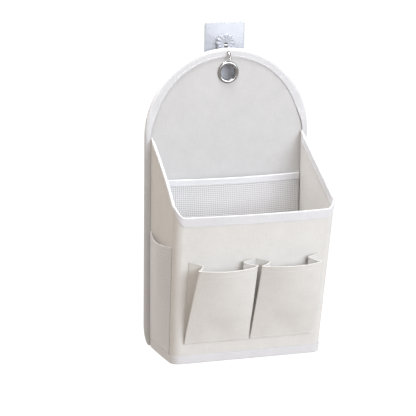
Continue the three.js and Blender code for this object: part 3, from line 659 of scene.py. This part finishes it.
def knit(name, width, height, place):
    """A net: every cell of a grid is inset to its strands, its middle taken out."""
    piece = cloth_sheet(name, round(width / MESH_PITCH), round(height / MESH_PITCH), place, 0)
    bpy.context.tool_settings.mesh_select_mode = (False, False, True)
    bpy.ops.object.mode_set(mode="EDIT")
    bpy.ops.mesh.select_all(action="SELECT")
    bpy.ops.mesh.inset(thickness=STRAND / 2, use_individual=True, use_boundary=True)
    bpy.ops.mesh.delete(type="FACE")
    bpy.ops.object.mode_set(mode="OBJECT")
    apply_modifier(piece, "SOLIDIFY", thickness=NET_THICK, offset=-1)
    round_shade(piece, 180)
    return piece


def inner_net_point(x, z, offset):
    """Point of the inner net, which hangs away from the lining towards its top."""
    rise = clamp((z - INNER_FOOT) / (INNER_TOP - INNER_FOOT))
    bulge = INNER_SLACK * rise * cos(x / inner_half * pi / 2)
    return hung(x, -(2 * LAYER_GAP + TAPE + bulge + NET_THICK + offset), z)


inner_net_top = INNER_TOP - LAYER_GAP - TAPE


def inner_net_place(u, v):
    x, z = (2 * u - 1) * inner_half, mix(INNER_FOOT, inner_net_top, v)
    return inner_net_point(x, z, 0), (x, z)


def side_net_point(side, share, rise, offset):
    """Point of a side net at a share of the way forwards and a share of its height."""
    foot = TAPE_LIP + LAYER_GAP
    z = mix(foot, NET_TOP - NET_SAG * sin(share * pi), rise)
    away = LAYER_GAP + NET_SLACK * sin(share * pi) * sqrt(rise)
    return side_line(side, share)[2](z, away + offset), z


white = linear(244, 244, 247)
net, tree, shader = new_material("knitted_net", white, 0.8, {"Sheen Weight": 0.1})
fuzz = hazed(tree, shader, 400, 0.7, 0.9, 0.6)
shaded(tree, shader, white, reckon(tree, "MULTIPLY_ADD", fuzz.outputs["Speck"], 0.16, 0.92))

inner_size = (2 * inner_half, inner_net_top - INNER_FOOT)
inner_net = knit("inner_net", *inner_size, inner_net_place)
dress(inner_net, net, "caddy")
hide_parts("inner_mesh_pocket")

net_length = DEPTH_FOOT - CORNER_RADIUS - SEAM_SETBACK
net_start = (2 * SEAM_FILLET + 2 * LAYER_GAP + TAPE) / net_length
for side, title in ((-1, "left"), (1, "right")):
    def side_net_place(u, v):
        share = mix(net_start, 1, u if side < 0 else 1 - u)
        point, z = side_net_point(side, share, v, NET_THICK)
        return point, (share * net_length, z)
    pocket = knit(title + "_net", net_length, NET_TOP - TAPE_LIP, side_net_place)
    dress(pocket, net, "caddy")

    def hem_place(u, v):
        point, (along, _) = side_net_place(u, 1)
        turn = 2 * pi * v
        lift = Vector((side * (cos(turn) - 0.8), 0, sin(turn) - 0.6)) * NET_HEM
        return point + lift, (along, NET_HEM_ROUND * v)
    hem = cloth_sheet(title + "_net_hem", NET_HEM_STEPS, HEM_SIDES, hem_place, 0)
    dress(hem, net, "caddy")
    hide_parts(title + "_mesh_pocket")


# Pleated front pockets: canvas sewn flat to the front along the foot and both sides, with a deep
# Z fold at each side that lets the rolled mouth gape. Stitch rows hold the hem and the foot.
POCKET_CLOTH, HEM_DEPTH, HEM_ROLL, HEM_ROUND = 0.5 * mm, 8 * mm, 0.75 * mm, 6 * mm
POCKET_FOOT, POCKET_TOP, POCKET_DROOP = 29.5 * mm, 146 * mm, 6 * mm
POCKET_GAP, POCKET_MARGIN = 3 * mm, 3 * mm
FOOT_SEAM, FOOT_PRESS, PRESS_END = 3 * mm, 0.5, 0.4
PLEAT_DEPTH, PLEAT_PITCH, FOOT_PITCH, PITCH_END = 18 * mm, 1.6 * mm, 0.36, 0.6
PLEAT_STEPS, FOLD_STEPS, FACE_STEPS, POCKET_ROWS = 5, 2, 24, 28
STITCH_LENGTH, STITCH_PITCH, STITCH_RADIUS = 2.3 * mm, 3 * mm, 0.28 * mm
STITCH_LIFT, STITCH_INSET = 0.1 * mm, 2 * mm
pocket_outer = BAG_WIDTH / 2 - FOOT_NARROWING - CORNER_RADIUS - POCKET_MARGIN
pocket_height = POCKET_TOP - POCKET_FOOT


def pleat(opening, first, second, face):
    """Plan of one pleat from the seam inwards, at an opening from 0, pressed flat, to 1.

    The first ply, the second ply and the face start off in these directions at the mouth.
    """
    pitch = PLEAT_PITCH * mix(FOOT_PITCH, 1, ease(opening, 0, PITCH_END))
    first, face = radians(first * opening), radians(face * opening)
    second = radians(mix(180, second, opening))
    x, y = 0.0, LAYER_GAP + POCKET_CLOTH / 2
    points = [(x, y)]
    runs = (
        (PLEAT_DEPTH, first, PLEAT_STEPS), (pitch, (first + second) / 2, FOLD_STEPS),
        (PLEAT_DEPTH, second, PLEAT_STEPS), (pitch, (second + face) / 2, FOLD_STEPS))
    for length, heading, steps in runs:
        for _ in range(steps):
            x += length / steps * cos(heading)
            y += length / steps * sin(heading)
            points.append((x, y))
    return points


def arc_half_angle(length, chord):
    """Half of the angle of an arc with a given length and chord, found by halving."""
    low, high = 1e-3, pi / 2
    for _ in range(40):
        middle = (low + high) / 2
        low, high = (middle, high) if sin(middle) / middle > chord / length else (low, middle)
    return low


def pocket_plan(opening, left_x, right_x, left_folds, right_folds):
    """Plan of a pocket: the pleats at both seams, and the face bowed out between them."""
    left = [Vector((left_x + x, y)) for x, y in pleat(opening, *left_folds)]
    right = [Vector((right_x - x, y)) for x, y in pleat(opening, *right_folds)][::-1]
    start, chord = left[-1], right[0] - left[-1]
    half = arc_half_angle(right_x - left_x, chord.length)
    away = Vector((-chord.y, chord.x)).normalized()
    face = []
    for k in range(1, FACE_STEPS):
        turn = half * (2 * k / FACE_STEPS - 1)
        along = (sin(half) + sin(turn)) / (2 * sin(half))
        bulge = chord.length * (cos(turn) - cos(half)) / (2 * sin(half))
        point = start + chord * along + away * bulge
        inward = min(point.x - left_x, right_x - point.x)
        press = FOOT_PRESS * ease(inward, PLEAT_DEPTH, (right_x - left_x) / 2)
        point.y = mix(point.y, left[0].y, press * (1 - ease(opening, 0, PRESS_END)))
        face.append(point)
    return left + face + right


def stitch_row(name, path):
    """A row of lock stitches along a path: one stitch, repeated and bent along it."""
    guide_curve = bpy.data.curves.new(name + "_path", "CURVE")
    guide_curve.dimensions = "3D"
    spline = guide_curve.splines.new("POLY")
    spline.points.add(len(path) - 1)
    for point, spot in zip(spline.points, path):
        point.co = (*spot, 1)
    guide = bpy.data.objects.new(name + "_path", guide_curve)
    bpy.context.scene.collection.objects.link(guide)
    bpy.ops.mesh.primitive_uv_sphere_add(
        segments=6, ring_count=4, radius=1, location=(STITCH_LENGTH / 2, 0, 0),
        rotation=(0, pi / 2, 0), scale=(STITCH_RADIUS, STITCH_RADIUS, STITCH_LENGTH / 2))
    piece = start_piece(name)
    apply_modifier(
        piece, "ARRAY", fit_type="FIT_CURVE", curve=guide, use_relative_offset=False,
        use_constant_offset=True, constant_offset_displace=(STITCH_PITCH, 0, 0))
    apply_modifier(piece, "CURVE", object=guide, deform_axis="POS_X")
    round_shade(piece, 60)
    bpy.data.objects.remove(guide)
    dress(piece, thread, "caddy")
    return piece


def plan_normal(plan, k):
    """Outward way of a pocket's plan at one of its points."""
    along = (plan[min(k + 1, len(plan) - 1)] - plan[max(k - 1, 0)]).normalized()
    return Vector((-along.y, along.x))


def front_pocket(name, left_x, right_x, left_folds, right_folds):
    """A pocket's cloth from its pressed foot to its gaping mouth, with its hem and stitches."""
    def plan_at(opening):
        return pocket_plan(opening, left_x, right_x, left_folds, right_folds)
    plans = [plan_at(k / POCKET_ROWS) for k in range(POCKET_ROWS + 1)]
    width = right_x - left_x + 4 * (PLEAT_DEPTH + PLEAT_PITCH)

    def spot(opening, x, forward):
        z = mix(POCKET_FOOT, POCKET_TOP, opening)
        z -= POCKET_DROOP * opening * ease(forward, 0, PLEAT_DEPTH)
        return hung(x, -(front_depth(z) + front_bow(x, z) + forward), z)

    def place(u, v):
        plan = plans[round(v * POCKET_ROWS)]
        point = plan[round(u * (len(plan) - 1))]
        return spot(v, point.x, point.y), (u * width, v * pocket_height)
    piece = cloth_sheet(name, len(plans[0]) - 1, POCKET_ROWS, place, 0)
    apply_modifier(piece, "SUBSURF", levels=1, render_levels=1)
    apply_modifier(piece, "SOLIDIFY", thickness=POCKET_CLOTH, offset=0, use_even_offset=True)
    round_shade(piece, 60)
    dress(piece, canvas, "caddy")

    def hem_place(u, v):
        mouth, turn = plans[-1], 2 * pi * v
        k = round(u * (len(mouth) - 1))
        point = mouth[k] + plan_normal(mouth, k) * HEM_ROLL * cos(turn)
        rise = Vector((0, 0, HEM_ROLL * (sin(turn) - 0.6)))
        return spot(1, point.x, point.y) + rise, (u * width, HEM_ROUND * v)
    hem = cloth_sheet(name + "_hem", len(plans[0]) - 1, HEM_SIDES, hem_place, 0)
    dress(hem, canvas, "caddy")
    lift = POCKET_CLOTH / 2 + STITCH_LIFT
    pleat_end = 2 * (PLEAT_STEPS + FOLD_STEPS)

    def face_stitches(title, level, first, out):
        plan = plan_at(level)
        path = [plan[k] + out(plan, k) * lift for k in range(first, len(plan) - first)]
        return stitch_row(name + title, [spot(level, x, y) for x, y in path])
    hem_row = face_stitches("_hem_stitches", 1 - HEM_DEPTH / pocket_height, pleat_end + 2, plan_normal)
    foot_row = face_stitches(
        "_foot_stitches", FOOT_SEAM / pocket_height, pleat_end, lambda plan, k: Vector((0, 1)))
    return piece


thread, tree, shader = new_material("sewing_thread", linear(238, 238, 241), 0.6)
hazed(tree, shader, 500, 0.5, 0.7, 0.5)

for title, left_x, right_x, left_folds, right_folds in (
        ("left", -pocket_outer, -POCKET_GAP / 2, (28, 125, 25), (20, 155, 25)),
        ("right", POCKET_GAP / 2, pocket_outer, (25, 147, 25), (18, 140, 25))):
    pocket = front_pocket(title + "_pleated_pocket", left_x, right_x, left_folds, right_folds)
    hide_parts(title + "_front_pocket")


# Back binding: white tape folded over the whole edge of the back and the side panels' flanges,
# wide on the arch and narrow beside the bag, lock-stitched along both lips above the foot.
BACK_LIP, FOOT_LIP, LIP_CLEARANCE, LIP_WIDENING = 12.5 * mm, 8 * mm, 0.8 * mm, 45 * mm
EDGE_ROUND, TAPE_RIPPLE, BACK_TAPE_WIDTH = 4 * mm, 0.12 * mm, 31 * mm
BACK_LIP_SHARE, STITCH_FOOT, TAPE_ROWS = 0.3, 30 * mm, 20
FOOT_STATIONS, BEND_STATIONS, SIDE_STATIONS, ARCH_STATIONS = 48, 24, 130, 100
foot_half = BAG_WIDTH / 2

# Stations round the edge, anticlockwise from the foot's middle: x, z and the way out.
edge = [(share * foot_half, 0.0, 0.0, -1.0) for share in shares(FOOT_STATIONS)[:-1]]
for turn in (share * pi / 2 for share in shares(BEND_STATIONS)):
    way = Vector((sin(turn) / FLANGE_WIDTH, -cos(turn) / FOOT_RISE)).normalized()
    x, z = foot_half + FLANGE_WIDTH * sin(turn), FOOT_RISE * (1 - cos(turn))
    edge.append((x, z, way.x, way.y))
for share in shares(SIDE_STATIONS)[1:-1]:
    edge.append((arch_radius, mix(FOOT_RISE, arch_z, share), 1.0, 0.0))
for turn in (share * pi / 2 for share in shares(ARCH_STATIONS)):
    out = (cos(turn), sin(turn))
    edge.append((arch_radius * out[0], arch_z + arch_radius * out[1], *out))
edge += [(-x, z, -nx, nz) for x, z, nx, nz in edge[-2:0:-1]]
edge_along = [0.0]
for (x, z, *_), (next_x, next_z, *_) in zip(edge, edge[1:] + edge[:1]):
    edge_along.append(edge_along[-1] + hypot(next_x - x, next_z - z))


def flange_share(z):
    """How much of the side panel's flange lies under the tape at a height."""
    above_foot = ease(z, 0, FLANGE_FOOT - LAYER_GAP)
    return min(above_foot, 1 - ease(z, SIDE_TOP + LAYER_GAP, SIDE_TOP + LIP_WIDENING))


def front_lip(x, z):
    """Width of the tape's front lip at a place on the edge."""
    drop = clamp(1 - z / FOOT_RISE)
    beside = max(2 * TAPE, FLANGE_WIDTH * sqrt(1 - drop * drop) - LIP_CLEARANCE)
    if z > SIDE_TOP:
        return mix(BACK_LIP, beside, flange_share(z))
    if z > 0:
        return beside
    return mix(2 * TAPE, FOOT_LIP, ease(foot_half - abs(x), SEAM_FILLET + CANVAS_THICK, 2 * FOOT_LIP))


def tape_faces(z):
    """Depths of the tape's rear and front faces at a height."""
    front = -LAYER_GAP - flange_share(z) * (LAYER_GAP + CANVAS_THICK)
    return BACK_STACK + LAYER_GAP + TAPE, front - TAPE


def ripple(along, wave, beat):
    """Puckers of a sewn tape along its length."""
    return TAPE_RIPPLE * sin(along / wave) * sin(along / beat)


def back_tape_place(u, v):
    """The tape from its rear lip round the edge to its front lip."""
    k = round(u * len(edge))
    x, z, nx, nz = edge[k % len(edge)]
    rear, front = tape_faces(z)
    lip = max(front_lip(x, z), 3 * TAPE)
    roll = min(EDGE_ROUND, lip - LAYER_GAP)
    front_share = 1 - BACK_LIP_SHARE
    if v < BACK_LIP_SHARE:
        inset, y = mix(BACK_LIP, roll, v / BACK_LIP_SHARE), rear
    elif v > front_share:
        along = (v - front_share) / BACK_LIP_SHARE
        inset, y = mix(roll, lip, along), front - ripple(edge_along[k], 1.9 * mm, 11 * mm) * along
    else:
        turn = (v - BACK_LIP_SHARE) / (front_share - BACK_LIP_SHARE) * pi
        inset = roll * (1 - sin(turn))
        y = (rear + front) / 2 + (rear - front) / 2 * cos(turn)
    inset_x, inset_z = x - inset * nx, z - inset * nz
    if z < FOOT_RISE:
        inset_z = max(inset_z, inset)
        reach = back_half_width(inset_z) - inset
        inset_x = clamp(inset_x, -reach, reach)
    return hung(inset_x, y, inset_z), (edge_along[k], BACK_TAPE_WIDTH * v)


# Painted shade: the back binding is a darker, cooler copy of the white rim tape, standing in for the
# shade on the arch and beside the bag.
edge_tape_in_painted_shade = woven("edge_tape_in_painted_shade", linear(220, 221, 225), 0.75, 1.1 * mm, 0.16 * mm, 0.12)

back_tape = cloth_sheet("back_tape", len(edge), TAPE_ROWS, back_tape_place, TAPE)
dress(back_tape, edge_tape_in_painted_shade, "caddy")
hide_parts("back_binding")
front_seam, rear_seam = [], []
for x, z, nx, nz in edge:
    if z > STITCH_FOOT:
        rear, front = tape_faces(z)
        inset = front_lip(x, z) - STITCH_INSET
        front_seam.append(hung(x - inset * nx, front - STITCH_LIFT, z - inset * nz))
        inset = BACK_LIP - STITCH_INSET
        rear_seam.append(hung(x - inset * nx, rear + STITCH_LIFT, z - inset * nz))
rows = [
    stitch_row("back_tape_front_stitches", front_seam),
    stitch_row("back_tape_rear_stitches", rear_seam)]
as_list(rows)


# Rim binding: white tape folded over the two sloped side edges and the front edge, stitched
# along both lips. The inner net's top edge has a narrower tape of the same kind.
RIM_LIP, SIDE_LIP, INNER_LIP = 12 * mm, 4 * mm, 8.5 * mm
FOLD_WIDTH, LIP_SHARE, INNER_STEPS = 4 * mm, 0.35, 80
wall_lines = side_lines[-1] + front_lines + side_lines[1][::-1]
tape = woven("rim_tape", linear(236, 237, 242), 0.75, 1.1 * mm, 0.16 * mm, 0.12)


def folded_tape(name, lines, lip, outer_lips, cloth):
    """Tape folded over the top of a cloth along its lines, its outside lip of varying width."""
    out, back = LAYER_GAP + TAPE, -(cloth + LAYER_GAP + TAPE)
    along = lay_out(lines, lines[0][1] - lip)
    tape_width, inner_share = 2 * lip + FOLD_WIDTH, 1 - LIP_SHARE

    def place(u, v):
        k = round(u * (len(lines) - 1))
        top, at = lines[k][1], lines[k][2]
        if v < LIP_SHARE:
            rise = mix(-outer_lips[k], 0, v / LIP_SHARE)
            offset = out + ripple(along[k], 2.1 * mm, 13 * mm) * (1 - v / LIP_SHARE)
        elif v > inner_share:
            rise, offset = mix(0, -lip, (v - inner_share) / LIP_SHARE), back
        else:
            turn = (v - LIP_SHARE) / (inner_share - LIP_SHARE) * pi
            rise = out * sin(turn)
            offset = (out + back) / 2 + (out - back) / 2 * cos(turn)
        return at(top + rise, offset), (along[k], tape_width * v)
    piece = cloth_sheet(name, len(lines) - 1, TAPE_ROWS, place, TAPE)
    dress(piece, tape, "caddy")
    rows = []
    inner_lips = [lip] * len(lines)
    for face, offset, lips in (
            ("outer", out + STITCH_LIFT, outer_lips), ("inner", back - STITCH_LIFT, inner_lips)):
        path = [at(top - width + STITCH_INSET, offset) for (_, top, at), width in zip(lines, lips)]
        rows.append(stitch_row(f"{name}_{face}_stitches", path))
    return piece, rows, (tape_width, along[-1])


corner_lips = [mix(SIDE_LIP, RIM_LIP, ease(share, 0, 1)) for share in shares(CORNER_STEPS)]
side_lips = [SIDE_LIP] * (len(side_lines[1]) + 1) + corner_lips
rim_lips = side_lips + [RIM_LIP] * (len(wall_lines) - 2 * len(side_lips)) + side_lips[::-1]
rim_tape, rows, cut = folded_tape("rim_tape", wall_lines, RIM_LIP, rim_lips, CANVAS_THICK)
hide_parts("rim_binding")
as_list(rows)

inner_lines = [
    (INNER_FOOT, inner_net_top, lambda z, offset, x=x: inner_net_point(x, z, offset))
    for x in shares(INNER_STEPS, -inner_half, inner_half)]
inner_tape, rows, cut = folded_tape(
    "inner_net_tape", inner_lines, INNER_LIP, [INNER_LIP] * INNER_STEPS, NET_THICK)
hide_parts("inner_mesh_binding")
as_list(rows)


# Bottom binding: white tape round the foot of the walls, turned under the bottom panel and
# stitched along its upper edge.
TURN_UNDER, FOOT_BEND, BOTTOM_TAPE_WIDTH = 9 * mm, 1.2 * mm, 22 * mm
UNDER_SHARE, BEND_SHARE = 0.35, 0.2
tape_out = LAYER_GAP + TAPE
bottom_along = lay_out(wall_lines, WALL_FOOT)


def bottom_tape_place(u, v):
    """The tape from its edge under the bag, round the bend and up the wall."""
    k = round(u * (len(wall_lines) - 1))
    at, wall_share = wall_lines[k][2], UNDER_SHARE + BEND_SHARE
    if v < UNDER_SHARE:
        z, offset = 0.0, mix(-TURN_UNDER, tape_out - FOOT_BEND, v / UNDER_SHARE)
    elif v > wall_share:
        z, offset = mix(FOOT_BEND, TAPE_LIP, (v - wall_share) / (1 - wall_share)), tape_out
    else:
        turn = (v - UNDER_SHARE) / BEND_SHARE * pi / 2
        z = FOOT_BEND * (1 - cos(turn))
        offset = tape_out - FOOT_BEND + FOOT_BEND * sin(turn)
    return at(z, offset), (bottom_along[k], BOTTOM_TAPE_WIDTH * v)


bottom_tape = cloth_sheet("bottom_tape", len(wall_lines) - 1, TAPE_ROWS, bottom_tape_place, TAPE)
dress(bottom_tape, tape, "caddy")
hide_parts("bottom_binding")
path = [at(TAPE_LIP - STITCH_INSET, tape_out + STITCH_LIFT) for _, _, at in wall_lines]
stitch_row("bottom_tape_stitches", path)


# Eyelet: a nickel-plated grommet pressed through the back, its rolled crown on the lining, its
# barrel flared over a washer on the cover.
HOLE_RADIUS, FLANGE_RADIUS, CROWN, WALL = 10.5 * mm, 15.2 * mm, 1.7 * mm, 0.8 * mm
WASHER, FLARE, ROLL, RING_STEPS, CROWN_STEPS = 0.8 * mm, 1.3 * mm, 1.6 * mm, 72, 13


def turned_ring(name, profile):
    """A ring spun about the eyelet's axis from a closed profile of radius and depth."""
    bpy.ops.mesh.primitive_circle_add(vertices=len(profile), radius=mm, fill_type="NOTHING")
    piece = start_piece(name)
    for vertex, (radius, y) in zip(piece.data.vertices, profile):
        vertex.co = hung(radius, y, eyelet_z)
    edit_all(piece)
    spin_round(RING_STEPS, hung(0, 0, eyelet_z), (0, 1, 0))
    finish_edit()
    round_shade(piece, 40)
    dress(piece, nickel, "caddy")
    return piece


nickel, tree, shader = new_material(
    "nickel_plate", linear(172, 172, 174), 0.18, {"Metallic": 1.0})
hazed(tree, shader, 120, 0.08, 0.2, 0.05)
seat, roll_seat = -LAYER_GAP, BACK_STACK + WASHER + 2 * LAYER_GAP
barrel = HOLE_RADIUS + WALL
middle, reach = (HOLE_RADIUS + FLANGE_RADIUS) / 2, (FLANGE_RADIUS - HOLE_RADIUS) / 2
flared_end = [
    (HOLE_RADIUS + FLARE, roll_seat + WALL), (HOLE_RADIUS + 0.5 * WALL, roll_seat),
    (HOLE_RADIUS, BACK_STACK - WALL)]
crown_face = [
    (middle - reach * cos(turn), seat - CROWN * sin(turn)) for turn in shares(CROWN_STEPS, 0, pi)]
rolled_end = [
    (barrel, seat), (barrel, roll_seat), (barrel + ROLL, roll_seat),
    (barrel + ROLL, roll_seat + WALL / 2)]
grommet = turned_ring("nickel_grommet", flared_end + crown_face + rolled_end)
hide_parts("eyelet_grommet")
washer_seat = BACK_STACK + LAYER_GAP
washer = turned_ring("nickel_washer", [
    (EYELET_BORE, washer_seat), (FLANGE_RADIUS - LAYER_GAP, washer_seat),
    (FLANGE_RADIUS, washer_seat + 0.3 * WASHER), (FLANGE_RADIUS - WASHER, washer_seat + 0.9 * WASHER),
    (EYELET_BORE, washer_seat + WASHER)])
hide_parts("eyelet_washer")


# Studio: a long lens at the photograph's angle, soft warm surroundings, soft lights in front, above,
# on the left and behind, and a floor far below the hung bag and behind it that glows with painted light:
# white in a pool where the camera looks, fading into the glow of the surroundings.
FLOOR_DROP, FLOOR_SIZE, FLOOR_GLOW = 1.5, 60, 1.1
POOL_AWAY, POOL_LENGTH, POOL_WIDTH, POOL_FADE = 14, 11.7, 5.1, 0.23
SURROUNDINGS, WORLD_GLOW = (1, 0.9, 0.805), 0.53
VIEW_TURN, VIEW_RISE, VIEW_ROLL = radians(-19), radians(12.8), 0.7
VIEW_DISTANCE, LENS, SENSOR = 2.5, 161, 36
BAG_MIDDLE, VIEW_TARGET = (0, -0.06, -0.2), Vector((-43.5, -68.1, -213.17)) * mm
scene = bpy.context.scene
scene.view_settings.view_transform = "Standard"
world = bpy.data.worlds.new("studio")
world.use_nodes = True
background = world.node_tree.nodes["Background"]
background.inputs["Color"].default_value = (*SURROUNDINGS, 1)
background.inputs["Strength"].default_value = WORLD_GLOW
scene.world = world


def aim(thing, spot, target, roll=0.0):
    """Puts a light or camera at a spot, looking at a target, with its top turned by the roll."""
    back = (Vector(spot) - Vector(target)).normalized()
    right = Vector((0, 0, 1)).cross(back).normalized()
    top = back.cross(right)
    lean = radians(roll)
    across = right * cos(lean) + top * sin(lean)
    upwards = top * cos(lean) - right * sin(lean)
    turned = Matrix((across, upwards, back)).transposed().to_4x4()
    thing.matrix_world = Matrix.Translation(spot) @ turned


def soft_light(name, spot, size, watts, colour):
    """A square area light that looks at the middle of the bag and isn't seen itself."""
    data = bpy.data.lights.new(name, "AREA")
    data.shape, data.size, data.energy, data.color = "SQUARE", size, watts, colour
    light = bpy.data.objects.new(name, data)
    scene.collection.objects.link(light)
    light.visible_camera = False
    aim(light, spot, BAG_MIDDLE)


soft_light("key_light", (0.9, -2.6, 0.6), 1.4, 42, (0.91, 0.93, 1.0))
soft_light("right_light", (2.0, -2.0, 0.8), 1.4, 18, (0.78, 0.95, 1.0))
soft_light("inside_light", (-0.1, -0.1, 0.65), 0.25, 7, (0.97, 0.97, 0.97))
soft_light("left_light", (-1.1, 0.0, 0.5), 1.4, 2.4, (1.0, 0.94, 0.86))
soft_light("back_light", (0.3, 2.4, 1.2), 1.4, 34, (0.91, 0.93, 1.0))

ahead = Vector((-sin(VIEW_TURN), cos(VIEW_TURN), 0))
camera_spot = VIEW_TARGET - ahead * VIEW_DISTANCE * cos(VIEW_RISE)
camera_spot.z += VIEW_DISTANCE * sin(VIEW_RISE)
lens = bpy.data.cameras.new("long_lens")
lens.lens, lens.sensor_width = LENS, SENSOR
camera = bpy.data.objects.new("long_lens", lens)
scene.collection.objects.link(camera)
aim(camera, camera_spot, VIEW_TARGET, VIEW_ROLL)
scene.camera = camera

floor_z = FOOT_Z - FLOOR_DROP
bpy.ops.mesh.primitive_plane_add(size=FLOOR_SIZE, location=(0, FLOOR_SIZE / 2, floor_z))
floor = start_piece("studio_floor")
# Painted light: the floor's colour is black and it glows, white in a pool where the camera looks and
# fading to the surroundings' glow further off.
glowing_floor_material, tree, shader = new_material(
    "glowing_floor", (0, 0, 0), 1.0, {"Specular IOR Level": 0, "Emission Strength": FLOOR_GLOW})
pool = camera_spot + ahead * POOL_AWAY
place = add_node(tree, "TexCoord")
inside = add_node(tree, "Mapping", {
    "Vector": place.outputs["Object"], "Location": (pool.x, pool.y, floor_z),
    "Rotation": (0, 0, VIEW_TURN), "Scale": (POOL_WIDTH, POOL_LENGTH, 1)}, vector_type="TEXTURE")
fade = add_node(
    tree, "TexGradient", {"Vector": inside.outputs["Vector"]}, gradient_type="SPHERICAL")
glow = add_node(tree, "ValToRGB", {"Fac": fade.outputs["Fac"]})
glow.color_ramp.interpolation = "EASE"
outside, bright = glow.color_ramp.elements
outside.color = (*(value * WORLD_GLOW / FLOOR_GLOW for value in SURROUNDINGS), 1)
bright.position, bright.color = POOL_FADE, (1, 1, 1, 1)
tree.links.new(glow.outputs["Color"], shader.inputs["Emission Color"])
floor.data.materials.append(glowing_floor_material)

bpy.context.view_layer.update()
